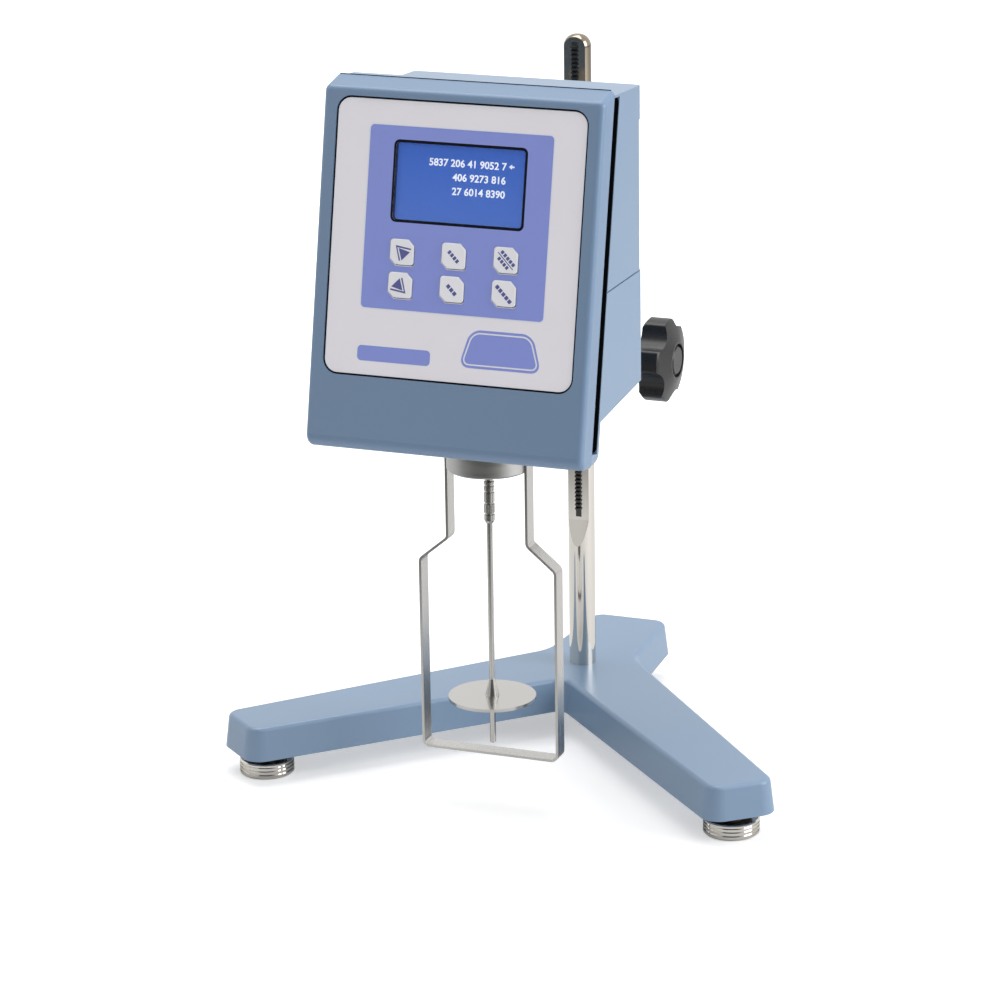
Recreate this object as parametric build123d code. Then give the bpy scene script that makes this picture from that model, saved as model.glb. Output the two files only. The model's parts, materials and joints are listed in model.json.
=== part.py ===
from build123d import *
import math
import os

# Rotational viscometer on a rack-and-pinion stand.  Lengths in millimetres, +Z up.
# Everything is drawn about the column axis with the feet standing on Z = 0, then
# moved so that the origin is the bottom centre of the whole object's box.

# ---- fits and clearances ----------------------------------------------------
RUN_FIT = 0.05          # radial clearance of a shaft running in its bore
KEY_GAP = 0.4           # gap round a key in its window
TRIM_GAP = 0.3          # gap between neighbouring separate pieces
ROCKER_GAP = 0.45       # gap round the power rocker

# ---- Y-shaped base casting --------------------------------------------------
BASE_TOP = 32.5         # top face above the table
BASE_UNDER = 14.0       # underside above the table
BASE_DRAFT = 7.0        # outward draft of the side walls, degrees
BASE_WALL = 5.0         # rim left round the relief underneath
BASE_RELIEF = 2.5       # depth of the relief underneath
HUB_NOTCH = -29.3       # crossing point of the two inner arm edges
ARM_IN = (131.3, -164.0)    # inner corner of an arm's end
ARM_OUT = (158.6, -140.3)   # outer corner of an arm's end
HUB_OUT = (26.4, 14.5)      # crossing of the arm's outer edge and the stub
STUB_END = (22.4, 82.5)     # rear corner of the rear stub
ARM_END_R = 8.0         # plan radius of the arm and stub corners
NOTCH_R = 8.0           # plan radius of the notch between the arms
WAIST_R = 26.0          # plan radius between arm and stub
TOP_EDGE_R = 2.5        # rounding of the top edge
HUB_BOSS_R = 17.0       # boss round the column socket
FOOT_BOSS_R = 11.5      # boss round a levelling screw

# ---- levelling feet ---------------------------------------------------------
FOOT_X, FOOT_Y = 134.4, -139.2
REAR_FOOT_Y = 62.0
FOOT_R = 15.0           # chrome pad
FOOT_H = 8.6
FOOT_GROOVE_Z = (2.2, 4.4, 6.4)     # lower edges of the three grip grooves
FOOT_GROOVE_W, FOOT_GROOVE_D = 0.9, 0.8
FOOT_NECK_R = 7.0
STUD_R = 4.0            # M8 levelling stud
STUD_TOP = 29.0
LOCKNUT_R = 11.0
LOCKNUT_Z = 10.0        # underside of the black lock ring
LOCKNUT_NOTCHES, LOCKNUT_NOTCH_R = 12, 0.9

# ---- column and rack --------------------------------------------------------
POST_R = 7.5
POST_TOP = 392.8
POST_DOME_R = 6.6       # rounding of the column's top
SOCKET_FLOOR = 18.0     # bottom of the column in its socket
FLAT_Y = 4.45           # distance of the milled flat from the axis
FLAT_Z0, FLAT_Z1 = 102.0, 118.0     # run-out of the flat
RACK_W = 3.2
RACK_Z0, RACK_Z1 = 120.0, 389.0
RACK_SEAT_Y = 3.4       # floor of the rack's groove
MODULE = 0.75
PITCH_Y = 5.55          # pitch line of the rack from the column axis
PINION_TEETH = 18
PINION_R = MODULE * PINION_TEETH / 2
TOOTH_PITCH = math.pi * MODULE
ADDENDUM = 0.9 * MODULE
DEDENDUM = 1.2 * MODULE
POST_SCREW_R = 4.0      # clearance hole in the casting
POST_BORE_R, POST_BORE_D = 3.3, 14.0    # hole for the screw in the column's foot
PRESSURE_ANGLE = 20.0

# ---- carriage, arm and height knob ------------------------------------------
PINION_Z = 217.9
PINION_Y = -(PITCH_Y + PINION_R)
PINION_W = 8.0
PIN_SHAFT_R = 3.0
CARR_HALF_W = 19.0
CARR_FRONT, CARR_BACK = -27.0, 17.0
CARR_Z0, CARR_Z1 = 203.0, 268.0
CARR_SCREW_X, CARR_SCREW_R = 14.6, 1.75
CARR_HEAD_R, CARR_HEAD_D = 3.4, 3.4     # counterbore for the screw's head
CARR_CORNER_R = 5.0
BUSH_R = 10.5
LOW_BUSH_H, HIGH_BUSH_H = 6.0, 16.0
BOSS_R, BOSS_END = 9.0, 34.0
SHAFT_BUSH_R = 5.0
KNOB_R = 23.1
KNOB_X0, KNOB_X1 = 44.2, 57.0   # rear face and front of the rim
KNOB_FACE = 61.5        # hub face of the coned front
KNOB_HUB_R = 9.3
KNOB_CAP_R = 7.7
KNOB_LOBES = 5
SCALLOP_R, SCALLOP_AT = 11.6, 29.6
SCALLOP_START = 224.0   # degrees, sets the lobes' rest position
KNOB_BORE_END = 51.5
KNOB_NECK_R, KNOB_CAP_T = 8.0, 1.8
LOBE_EDGE_R = 2.0
ARM_BACK_Z, ARM_BACK_H = 250.0, 30.0    # section at the carriage
ARM_HEAD_Z, ARM_HEAD_H = 263.0, 38.0    # section at the head
ARM_HALF_W = 18.0
ARM_PAD_T = 6.0         # flange that bolts to the head
ARM_PAD_W, ARM_PAD_H = 68.0, 48.0
ARM_SCREW_R, ARM_HEAD_R, ARM_SCREW_IN = 2.0, 3.4, 10.5
ARM_FLARE = 3.0         # each side is this much wider at the head
POCKET_L, POCKET_H, POCKET_TILT = 52.0, 16.0, 8.5   # pocket in each side of the arm
POCKET_DEPTH = 2.0

# ---- head: panel frame ------------------------------------------------------
TILT = 11.92            # backward lean of the front panel, degrees
PANEL_Y, PANEL_Z = -181.8, 318.2        # centre of the silver label
HEAD_HALF_W = 76.2
LABEL_H = 140.7
TOP_MARGIN = 11.55      # label's top edge to the head's upper edge
HEAD_V0, HEAD_V1 = -109.6, LABEL_H / 2 + TOP_MARGIN     # lower and upper edge
BEZEL_FRONT, BEZEL_REAR = 0.8, -13.6    # offsets along the panel normal
BEZEL_WALL = 3.0
BROW_DROP = 6.4
BROW_V = HEAD_V1 - BROW_DROP    # where the sloping brow meets the front face
BROW_R, CHIN_R = 3.5, 6.5       # rounding of the front's upper and lower edge
BROW_INSIDE = 5.6       # wall left between brow and cavity
BEZEL_EDGE_R = 3.2      # rounding of the front's side edges
LIP_V = HEAD_V0 + 17.6  # top of the ribbed lower lip
LIP_CELLS, LIP_RIB = 6, 2.5     # blind cells behind the lower lip
GROOVE_REAR = -21.0     # rear of the black groove
GROOVE_D = 3.5          # depth of the groove from the side faces
GROOVE_V0 = HEAD_V0 + 7.8       # lower end of the groove on the side faces
GASKET_V0, GASKET_W = HEAD_V0 + 3.8, 4.0
FLANGE_REAR = -23.6
FLANGE_R = 8.0          # lower corners of the flange
BODY_X0 = -49.0         # left side of the deep rear body
BACK_Y = -112.0         # rear wall of the deep body
LEFT_BACK_Y = -129.0    # rear wall of the shallow left part
RECESS_Y = -116.0       # recessed connector zone
REAR_DROP = 4.524964    # front's upper edge to the top face at the rear wall
HEAD_TOP = (PANEL_Z + HEAD_V1 * math.cos(math.radians(TILT))
            + BEZEL_REAR * math.sin(math.radians(TILT)) - REAR_DROP)
TOP_FALL = 0.053        # fall of the top face towards the rear
HOOD_T = 1.2            # thin front edge of the top, over the groove
SEAM_Z, RECESS_TOP = 295.0, HEAD_TOP - 17.5
SEAM_LINE, SEAM_DEPTH = 0.8, 1.0
BODY_BOTTOM_BACK = 235.5
BODY_BOTTOM_V = -85.6
SHELL = 2.8
FRONT_OPEN = 5.0        # the covers' cavity reaches this far past the flange
LABEL_MARGIN = 8.6      # front face left beside the label
LABEL_W = 2 * (HEAD_HALF_W - LABEL_MARGIN)
LABEL_GAP = 1.0
OVERLAY_T = 0.6
LCD_DROP = 40.65        # display centre below the label's top edge
LCD_U, LCD_V = 0.55, LABEL_H / 2 - LCD_DROP
LCD_W, LCD_H = 70.6, 39.8
KEY_U, KEY_US = 0.2, 28.35      # middle column and column pitch
KEY_DROP, KEY_VS = 76.65, 16.9  # first row below the label's top edge, row pitch
KEY_V = (LABEL_H / 2 - KEY_DROP, LABEL_H / 2 - KEY_DROP - KEY_VS)
KEY_W = 13.0
KEY_CHAMFER = 3.2
KEY_PROUD = 0.9
KEY_TRAVEL = 0.5
KEY_CORNER_R = 1.6
KEY_CAP_T = 2.2         # part of the cap behind the label's face
SKIRT_W, SKIRT_H, SKIRT_T = 16.4, 15.2, 1.2     # flange that keeps a key in its window
STEM_W, STEM_END = 4.0, 2.4     # plunger, and how far it stands off the front wall
PAD_W, PAD_T = 6.0, 1.4         # dome switches
PAD_BOARD_V0, PAD_BOARD_V1 = KEY_V[1] - 8.8, KEY_V[0] + 5.8     # switch board's edges
PAD_BOARD_HALF_W, PAD_BOARD_T = 40.0, 1.2
MODULE_W, MODULE_H = 78.0, 48.0     # display module's metal frame
MODULE_REAR = -9.0
CARRIER_W, CARRIER_H, CARRIER_T = 93.0, 66.0, 1.6       # its circuit board
CARRIER_EDGE = 3.0      # screw centre to the circuit board's side edge
CARRIER_HOLE_V, CARRIER_POST_V = 29.5, 26.5

BOARD_SIDE = 10.2       # main board's edge to the head's outer face
BOARD_HALF = 66.0       # half width for which its components are laid out
BOARD_V0, BOARD_V1 = -60.0, HEAD_V1 - 15.9
BOARD_W, BOARD_T = -15.0, 1.6
BOARD_PARTS = ((8, 80, 18, 18, 2.0), (96, 8, 22, 14, 4.0), (14, 6, 22, 24, 3.0),
               (106, 94, 20, 22, 3.4))  # left, bottom, width, height, thickness of each

# ---- measuring drive --------------------------------------------------------
AXIS_Y = -139.6         # spindle axis
COLLAR_R = 22.3
COLLAR_Z0 = 187.5
CHASSIS_Z, CHASSIS_T = 244.0, 3.0
FLAT_X = 21.8           # flats on the collar for the guard
CHASSIS_SIDE = 6.0      # chassis plate to the rear body's outer face
CHASSIS_Y0, CHASSIS_Y1 = -171.5, -118.0
POST_SIDE = 12.0        # chassis bosses to the outer face
LOW_DISC_Z, HIGH_DISC_Z = 256.0, 268.0
DISC_R = 18.0
MOTOR_Z0, MOTOR_H, MOTOR_W = 279.0, 26.0, 35.2
BRACKET_T = 3.0
BRACKET_W, PILLAR_AT, PILLAR_R = 44.0, 18.0, 3.0
MOTOR_BOSS_R = 11.0
MOTOR_CAP_H = 7.0       # end caps over and under the motor's waist
DRIVE_TOP = MOTOR_Z0 + 16.0
DRIVE_HUB_R, DRIVE_HUB_H = 6.0, 5.0
SPRING_Z = HIGH_DISC_Z - 8.0
SENSOR_X0, SENSOR_X1, SENSOR_W = -30.0, -14.0, 10.0     # disc reader
SENSOR_SLOT_X = -19.5
SLOT_COUNT, SLOT_L, SLOT_W = 24, 2.6, 0.9       # slots round both discs
DISC_SLOT_AT = DISC_R - 2.2
SPRING_TURNS, SPRING_R, SPRING_T, SPRING_H = 3.0, 11.6, 0.5, 3.0
BEARING_R, BEARING_H = 7.0, 3.0
BEARING_Z = COLLAR_Z0 + 5.6
COLLAR_BORE_R, NOSE_BORE_R = 13.0, 4.5
DRIVE_R, PIVOT_R = 2.5, 1.6
COUPLING_R, COUPLING_Z0 = 2.9, 157.4
SPINDLE_R = 1.6
SPINDLE_TIP = 33.6
DISC_Z, DISC_T, SPIN_DISC_R = 59.0, 1.65, 23.5

# ---- guard leg --------------------------------------------------------------
GUARD_T, GUARD_W = 1.4, 9.5
GUARD_TOP, GUARD_BOTTOM = 226.0, 28.0
GUARD_SCREW_Z = 212.0
KINK_Z1, KINK_Z0 = 147.7, 134.5
GUARD_WIDE = 38.4       # half width of the lower loop, mid strip
BEND_R = 3.0            # inside radius of the bends
THUMB_R, THUMB_T, THUMB_THREAD_R = 4.6, 5.0, 1.6
THUMB_KNURLS = 16

# ---- rear connectors --------------------------------------------------------
PLATE_X0, PLATE_X1 = BODY_X0 + 4.6, HEAD_HALF_W - 4.2
CUT_X0, CUT_X1 = BODY_X0 + 8.6, HEAD_HALF_W - 8.2
CUT_Z0, CUT_Z1 = SEAM_Z + 8.0, RECESS_TOP - 22.5
CONN_Z = SEAM_Z + 33.0
# serial port, probe socket, switch and inlet in one row: widths, and the room before,
# between and after them, which shares out what the opening leaves
CONN_WIDTHS = (30.8, 15.2, 15.6, 31.0)
CONN_ROOM = (5.0, 5.0, 2.6, 0.7, 2.5)
ROOM_SHARE = (CUT_X1 - CUT_X0 - sum(CONN_WIDTHS)) / sum(CONN_ROOM)
SERIAL_X, PROBE_X, ROCKER_X, INLET_X = (
    CUT_X0 + ROOM_SHARE * sum(CONN_ROOM[:i + 1]) + sum(CONN_WIDTHS[:i]) + CONN_WIDTHS[i] / 2
    for i in range(len(CONN_WIDTHS)))
FAR = 500.0             # beyond the object on every side
PLATE_T = 2.0
PLATE_FACE = RECESS_Y - SHELL
PLATE_SCREW_R, PLATE_HEAD_R = 1.5, 2.6
INLET_W, INLET_H, INLET_D = 27.2, 20.2, 22.0
INLET_RIM_W, INLET_RIM_H = CONN_WIDTHS[3], 24.5
INLET_MOUTH_W, INLET_MOUTH_H, INLET_MOUTH_D = 23.0, 16.0, 17.0
BLADE_AT = ((-6.5, -1.5), (6.5, -1.5), (0.0, 2.8))
ROCKER_W, ROCKER_H = 9.0, 15.0
SWITCH_W, SWITCH_H = 13.0, 19.0     # switch body in the plate
SERIAL_W, SERIAL_H = 18.0, 10.4     # socket body in the plate
PIN_PITCH, PIN_ROW = 2.7, 1.4
JACK_AT = 12.5
PROBE_R, PROBE_RIM_R, PROBE_CUP_R, PROBE_PIN_AT = 6.0, CONN_WIDTHS[1] / 2, 4.6, 2.6


def cyl(r, z0, z1, x=0.0, y=0.0):
    """Upright cylinder between two heights."""
    return Pos(x, y, (z0 + z1) / 2) * Cylinder(r, z1 - z0)


def box(x0, x1, y0, y1, z0, z1):
    """Box between two corners."""
    return Pos((x0 + x1) / 2, (y0 + y1) / 2, (z0 + z1) / 2) * Box(x1 - x0, y1 - y0, z1 - z0)


def xcyl(r, x0, x1, y, z):
    """Cylinder lying along X."""
    return Pos((x0 + x1) / 2, y, z) * Rot(0, 90, 0) * Cylinder(r, x1 - x0)


def ycyl(r, y0, y1, x, z):
    """Cylinder lying along Y."""
    return Pos(x, (y0 + y1) / 2, z) * Rot(90, 0, 0) * Cylinder(r, y1 - y0)


def side_profile(points, x0, x1):
    """Extrude a closed (y, z) outline from x0 to x1."""
    face = make_face(Polyline(*[(x0, y, z) for y, z in points], close=True))
    return extrude(face, x1 - x0, dir=(1, 0, 0))


def turned(points, x=0.0, y=0.0):
    """Revolve a closed (radius, z) outline about an upright axis."""
    face = make_face(Polyline(*[(r, 0, z) for r, z in points], close=True))
    return Pos(x, y, 0) * revolve(face, Axis.Z)


PANEL = Plane(
    origin=(0, PANEL_Y, PANEL_Z),
    x_dir=(1, 0, 0),
    z_dir=(0, -math.cos(math.radians(TILT)), math.sin(math.radians(TILT))),
)


def on_panel(shape):
    """Carry a shape drawn in panel coordinates (u, v, w) to its place."""
    return PANEL.location * shape


def slab(u0, u1, v0, v1, w0, w1, r=0.0):
    """Plate in panel coordinates with rounded corners."""
    face = Pos((u0 + u1) / 2, (v0 + v1) / 2, w0) * (
        RectangleRounded(u1 - u0, v1 - v0, r) if r else Rectangle(u1 - u0, v1 - v0))
    return extrude(face, w1 - w0, dir=(0, 0, 1))


def panel_point(v, w):
    """(y, z) of a panel coordinate pair on the middle plane."""
    c, s = math.cos(math.radians(TILT)), math.sin(math.radians(TILT))
    return PANEL_Y + v * s - w * c, PANEL_Z + v * c + w * s


def above(z):
    """Everything over a height."""
    return box(-FAR, FAR, -FAR, FAR, z, z + FAR)


def below(z):
    """Everything under a height."""
    return box(-FAR, FAR, -FAR, FAR, z - FAR, z)


# ---- stand ------------------------------------------------------------------
def base_outline():
    """Plan outline of the casting's top face with all its corner radii."""
    half = [ARM_IN, ARM_OUT, HUB_OUT, STUB_END]
    points = [(0, HUB_NOTCH)] + half + [(-x, y) for x, y in reversed(half)]
    face = make_face(Polyline(*points, close=True))
    radii = {(0, HUB_NOTCH): NOTCH_R}
    for x, y in half:
        r = WAIST_R if (x, y) == HUB_OUT else ARM_END_R
        radii[(x, y)] = radii[(-x, y)] = r
    for (x, y), r in radii.items():
        corner = min(face.vertices(), key=lambda v: math.hypot(v.X - x, v.Y - y))
        face = fillet(corner, r)
    return face


FEET = {"foot_left": (-FOOT_X, FOOT_Y), "foot_right": (FOOT_X, FOOT_Y),
        "foot_rear": (0.0, REAR_FOOT_Y)}


def base_casting():
    """Drafted Y casting with a shallow relief underneath and bosses for the feet."""
    height = BASE_TOP - BASE_UNDER
    spread = height * math.tan(math.radians(BASE_DRAFT))
    outline = base_outline()
    lower = Pos(0, 0, BASE_UNDER) * offset(outline, spread)
    body = loft([lower.face(), (Pos(0, 0, BASE_TOP) * outline).face()], ruled=True)
    body = fillet(body.edges().group_by(Axis.Z)[-1], TOP_EDGE_R)
    pocket = extrude(Pos(0, 0, BASE_UNDER) * offset(outline, -BASE_WALL), BASE_RELIEF)
    pocket -= cyl(HUB_BOSS_R, BASE_UNDER, BASE_TOP)
    for x, y in FEET.values():
        pocket -= cyl(FOOT_BOSS_R, BASE_UNDER, BASE_TOP, x, y)
    body -= pocket
    body -= cyl(POST_R, SOCKET_FLOOR, BASE_TOP + 1)
    body -= cyl(POST_SCREW_R, BASE_UNDER - 1, SOCKET_FLOOR)
    for x, y in FEET.values():
        body -= cyl(STUD_R + RUN_FIT, BASE_UNDER - 1, STUD_TOP - 2, x, y)
    return body


def foot(x, y):
    """Grooved chrome pad with its levelling stud."""
    groove = [(z, z + FOOT_GROOVE_W) for z in FOOT_GROOVE_Z]
    points = [(0, 0), (FOOT_R - 0.8, 0), (FOOT_R, 0.8)]
    for z0, z1 in groove:
        points += [(FOOT_R, z0), (FOOT_R - FOOT_GROOVE_D, z0),
                   (FOOT_R - FOOT_GROOVE_D, z1), (FOOT_R, z1)]
    points += [(FOOT_R, FOOT_H - 0.6), (FOOT_R - 0.6, FOOT_H), (FOOT_NECK_R, FOOT_H),
               (FOOT_NECK_R, LOCKNUT_Z - 0.4), (STUD_R, LOCKNUT_Z - 0.4),
               (STUD_R, STUD_TOP - 4.0), (STUD_R - 1, STUD_TOP - 3.0), (0, STUD_TOP - 3.0)]
    return turned(points, x, y)


def foot_locknuts():
    """Black lock rings with finger notches, one under each boss."""
    rings = []
    for x, y in FEET.values():
        ring = cyl(LOCKNUT_R, LOCKNUT_Z, BASE_UNDER, x, y)
        ring = chamfer(ring.edges().filter_by(GeomType.CIRCLE).group_by(Axis.Z)[0], 0.5)
        ring -= cyl(STUD_R + RUN_FIT, LOCKNUT_Z - 1, BASE_UNDER + 1, x, y)
        notch = Pos(x, y, 0) * PolarLocations(LOCKNUT_R + 0.4, LOCKNUT_NOTCHES)
        ring -= [loc * Cylinder(LOCKNUT_NOTCH_R, FAR) for loc in notch]
        rings.append(ring)
    return Compound(children=rings)


def post():
    """Column with domed top, milled flat that runs out, and a groove for the rack."""
    body = cyl(POST_R, SOCKET_FLOOR, POST_TOP)
    body = fillet(body.edges().group_by(Axis.Z)[-1], POST_DOME_R)
    far = 2 * POST_R
    flat = side_profile([(-FLAT_Y, FLAT_Z1), (-POST_R - 0.2, FLAT_Z0), (-far, FLAT_Z0),
                         (-far, POST_TOP + 5), (-FLAT_Y, POST_TOP + 5)], -far, far)
    body -= flat
    body -= box(-RACK_W / 2, RACK_W / 2, -far, -RACK_SEAT_Y, RACK_Z0, RACK_Z1)
    body -= cyl(POST_BORE_R, SOCKET_FLOOR - 1, SOCKET_FLOOR + POST_BORE_D)
    return body


def rack_strip():
    """Toothed strip let into the column's flat."""
    tip, root = -(PITCH_Y + ADDENDUM), -(PITCH_Y - DEDENDUM)
    slope = math.tan(math.radians(PRESSURE_ANGLE))
    half = TOOTH_PITCH / 4
    points = [(-RACK_SEAT_Y, RACK_Z0), (root, RACK_Z0)]
    count = int((RACK_Z1 - RACK_Z0) / TOOTH_PITCH) - 1
    # a tooth space is centred on the pinion's height
    first = PINION_Z + TOOTH_PITCH / 2 - TOOTH_PITCH * int(
        (PINION_Z - RACK_Z0 - TOOTH_PITCH) / TOOTH_PITCH)
    for i in range(count):
        z = first + i * TOOTH_PITCH
        if z + TOOTH_PITCH / 2 > RACK_Z1:
            break
        points += [(root, z - half - DEDENDUM * slope), (tip, z - half + ADDENDUM * slope),
                   (tip, z + half - ADDENDUM * slope), (root, z + half + DEDENDUM * slope)]
    points += [(root, RACK_Z1), (-RACK_SEAT_Y, RACK_Z1)]
    return side_profile(points, -RACK_W / 2, RACK_W / 2)


def socket_screw(head_r, head_h, shank_r, length):
    """Socket head screw along +Z, head below the origin plane."""
    screw = cyl(head_r, -head_h, 0) + cyl(shank_r, 0, length)
    screw = chamfer(screw.edges().group_by(Axis.Z)[0], 0.25)
    hexagon = extrude(Pos(0, 0, -head_h) * RegularPolygon(head_r * 0.55, 6), head_h * 0.55)
    return screw - hexagon


def post_screw():
    """Screw that draws the column down into its socket."""
    washer = cyl(8.0, BASE_UNDER - 1.6, BASE_UNDER)
    screw = Pos(0, 0, BASE_UNDER - 1.6) * socket_screw(5.5, 3.6, POST_BORE_R, 12.0)
    return washer + screw


# ---- carriage ---------------------------------------------------------------
def carriage_block():
    """Block that rides the column, with the pinion pocket and shaft boss."""
    block = box(-CARR_HALF_W, CARR_HALF_W, CARR_FRONT, CARR_BACK, CARR_Z0, CARR_Z1)
    block = fillet(block.edges().filter_by(Axis.Z), CARR_CORNER_R)
    block = chamfer(block.edges().group_by(Axis.Z)[-1], 0.8)
    block += xcyl(BOSS_R, 0, BOSS_END, PINION_Y, PINION_Z)
    block -= cyl(BUSH_R, CARR_Z0 - 1, CARR_Z1 + 1)
    block -= xcyl(PINION_R + ADDENDUM + 0.8, -PINION_W / 2 - 0.5, PINION_W / 2 + 0.5,
                  PINION_Y, PINION_Z)
    block -= xcyl(SHAFT_BUSH_R, -CARR_HALF_W - 1, BOSS_END + 1, PINION_Y, PINION_Z)
    for x in (-CARR_SCREW_X, CARR_SCREW_X):
        block -= ycyl(CARR_SCREW_R, CARR_FRONT - 1, CARR_BACK + 1, x, ARM_BACK_Z)
        block -= ycyl(CARR_HEAD_R, CARR_BACK - CARR_HEAD_D, CARR_BACK + 1, x, ARM_BACK_Z)
    return block


def carriage_bushes():
    """Two plain bushes that run on the column."""
    low = cyl(BUSH_R, CARR_Z0, CARR_Z0 + LOW_BUSH_H)
    high = cyl(BUSH_R, CARR_Z1 - HIGH_BUSH_H, CARR_Z1)
    bore = cyl(POST_R + RUN_FIT, CARR_Z0 - 1, CARR_Z1 + 1)
    return Compound(children=[low - bore, high - bore])


def shaft_bushes():
    """Two bushes that carry the pinion shaft."""
    bore = xcyl(PIN_SHAFT_R + RUN_FIT, -60, 60, PINION_Y, PINION_Z)
    inner = PINION_W / 2 + 0.5
    left = xcyl(SHAFT_BUSH_R, -CARR_HALF_W, -inner, PINION_Y, PINION_Z)
    right = xcyl(SHAFT_BUSH_R, inner, BOSS_END, PINION_Y, PINION_Z)
    return Compound(children=[left - bore, right - bore])


def pinion():
    """Eighteen-tooth pinion in mesh with the rack."""
    tip, root = PINION_R + ADDENDUM, PINION_R - DEDENDUM
    step = 360 / PINION_TEETH
    points = []
    for i in range(PINION_TEETH):
        # one tooth points straight at the rack (+Y)
        for radius, share in ((root, -0.36), (tip, -0.11), (tip, 0.11), (root, 0.36)):
            a = math.radians(90 + (i + share) * step)
            points.append((radius * math.cos(a), radius * math.sin(a)))
    face = make_face(Polyline(*points, close=True))
    gear = extrude(face, PINION_W / 2, both=True) - Cylinder(PIN_SHAFT_R, 2 * PINION_W)
    return Pos(0, PINION_Y, PINION_Z) * Rot(0, 90, 0) * gear


def pinion_shaft():
    """Shaft from the carriage's left bush out to the knob."""
    shaft = xcyl(PIN_SHAFT_R, -CARR_HALF_W - 1.5, KNOB_BORE_END, PINION_Y, PINION_Z)
    clip = xcyl(PIN_SHAFT_R + 1.6, -CARR_HALF_W - 1.2, -CARR_HALF_W - 0.3, PINION_Y, PINION_Z)
    return shaft + clip


def height_knob():
    """Lobed hand knob with a coned front, hub, cap recess and blind bore."""
    outline = [(0, KNOB_X0), (KNOB_R - 1.6, KNOB_X0), (KNOB_R, KNOB_X0 + 1.6), (KNOB_R, KNOB_X1),
               (KNOB_R - 1.2, KNOB_X1 + 0.9), (KNOB_HUB_R + 1.0, KNOB_FACE), (0, KNOB_FACE)]
    disc = turned(outline)
    scallops = PolarLocations(SCALLOP_AT, KNOB_LOBES, start_angle=SCALLOP_START)
    disc -= [loc * cyl(SCALLOP_R, KNOB_X0 - 1, KNOB_FACE + 1) for loc in scallops]
    disc = fillet(disc.edges().filter_by(Axis.Z), LOBE_EDGE_R)
    disc += cyl(KNOB_NECK_R, BOSS_END + 1.0, KNOB_X0 + 1)
    disc -= cyl(KNOB_HUB_R, KNOB_FACE - KNOB_CAP_T, KNOB_FACE + 1)
    disc -= cyl(PIN_SHAFT_R, BOSS_END, KNOB_BORE_END)
    return Pos(0, PINION_Y, PINION_Z) * Rot(0, 90, 0) * disc


def knob_cap():
    """Snap-in cap inside the ring of the knob's face."""
    cap = xcyl(KNOB_CAP_R, KNOB_FACE - KNOB_CAP_T, KNOB_FACE, PINION_Y, PINION_Z)
    return chamfer(cap.edges().filter_by(GeomType.CIRCLE).group_by(Axis.X)[-1], 0.5)


def head_arm():
    """Tapered casting from the carriage to the head, with side pockets."""
    front = BACK_Y + ARM_PAD_T
    rear = Plane(origin=(0, CARR_FRONT, ARM_BACK_Z), x_dir=(1, 0, 0), z_dir=(0, -1, 0))
    near = Plane(origin=(0, front, ARM_HEAD_Z), x_dir=(1, 0, 0), z_dir=(0, -1, 0))
    arm = loft([(rear * RectangleRounded(2 * ARM_HALF_W, ARM_BACK_H, 5)).face(),
                (near * RectangleRounded(2 * (ARM_HALF_W + ARM_FLARE), ARM_HEAD_H, 5)).face()])
    pad = Pos(0, (BACK_Y + front) / 2, ARM_HEAD_Z) * Rot(90, 0, 0) * extrude(
        RectangleRounded(ARM_PAD_W, ARM_PAD_H, 6), ARM_PAD_T / 2, both=True)
    arm += pad
    mid_y, mid_z = (CARR_FRONT + front) / 2, (ARM_BACK_Z + ARM_HEAD_Z) / 2
    for side in (-1, 1):
        pocket = Pos(side * (ARM_HALF_W - POCKET_DEPTH + 8), mid_y, mid_z) * \
            Rot(POCKET_TILT, 0, 0) * Rot(0, 90, 0) * extrude(
                RectangleRounded(POCKET_H, POCKET_L, 5), 8, both=True)
        arm -= pocket
    for x in (-CARR_SCREW_X, CARR_SCREW_X):
        arm -= ycyl(CARR_SCREW_R, CARR_FRONT - 10, CARR_FRONT + 1, x, ARM_BACK_Z)
    for x, z in arm_screw_points():
        arm -= ycyl(ARM_SCREW_R, BACK_Y - 1, front + 1, x, z)
    return arm


def arm_screw_points():
    """Centres of the four screws that hold the head."""
    w, h = ARM_PAD_W / 2 - 4.5, ARM_PAD_H / 2 - 6
    return [(sx * w, ARM_HEAD_Z + sz * h) for sx in (-1, 1) for sz in (-1, 1)]


def arm_screws():
    """Four head screws and two carriage screws."""
    head = BACK_Y + ARM_PAD_T
    screws = [Pos(x, head, z) * Rot(90, 0, 0) * socket_screw(ARM_HEAD_R, 3.2, ARM_SCREW_R, ARM_SCREW_IN)
              for x, z in arm_screw_points()]
    screws += [Pos(x, CARR_BACK - CARR_HEAD_D, ARM_BACK_Z) * Rot(90, 0, 0)
               * socket_screw(CARR_HEAD_R - 0.4, 3.2, CARR_SCREW_R,
                              CARR_BACK - CARR_HEAD_D - CARR_FRONT + 8)
               for x in (-CARR_SCREW_X, CARR_SCREW_X)]
    return Compound(children=screws)


# ---- head shell -------------------------------------------------------------
def key_centres():
    """Panel coordinates of the six keys, row by row."""
    return [(KEY_U + c * KEY_US, v) for v in KEY_V for c in (-1, 0, 1)]


def key_face(grow=0.0):
    """Square key outline with two opposite corners cut."""
    h = KEY_W / 2 + grow
    c = KEY_CHAMFER + grow * 0.6
    face = make_face(Polyline((-h, h), (h - c, h), (h, h - c), (h, -h), (-h + c, -h),
                              (-h, -h + c), close=True))
    sharp = [v for v in face.vertices() if abs(abs(v.X) - h) < 1e-6 and abs(abs(v.Y) - h) < 1e-6]
    return fillet(sharp, KEY_CORNER_R)


def panel_profile(points, u0, u1):
    """Extrude a closed (v, w) outline across the panel, in panel coordinates."""
    face = make_face(Polyline(*[(u0, v, w) for v, w in points], close=True))
    return extrude(face, u1 - u0, dir=(1, 0, 0))


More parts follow.
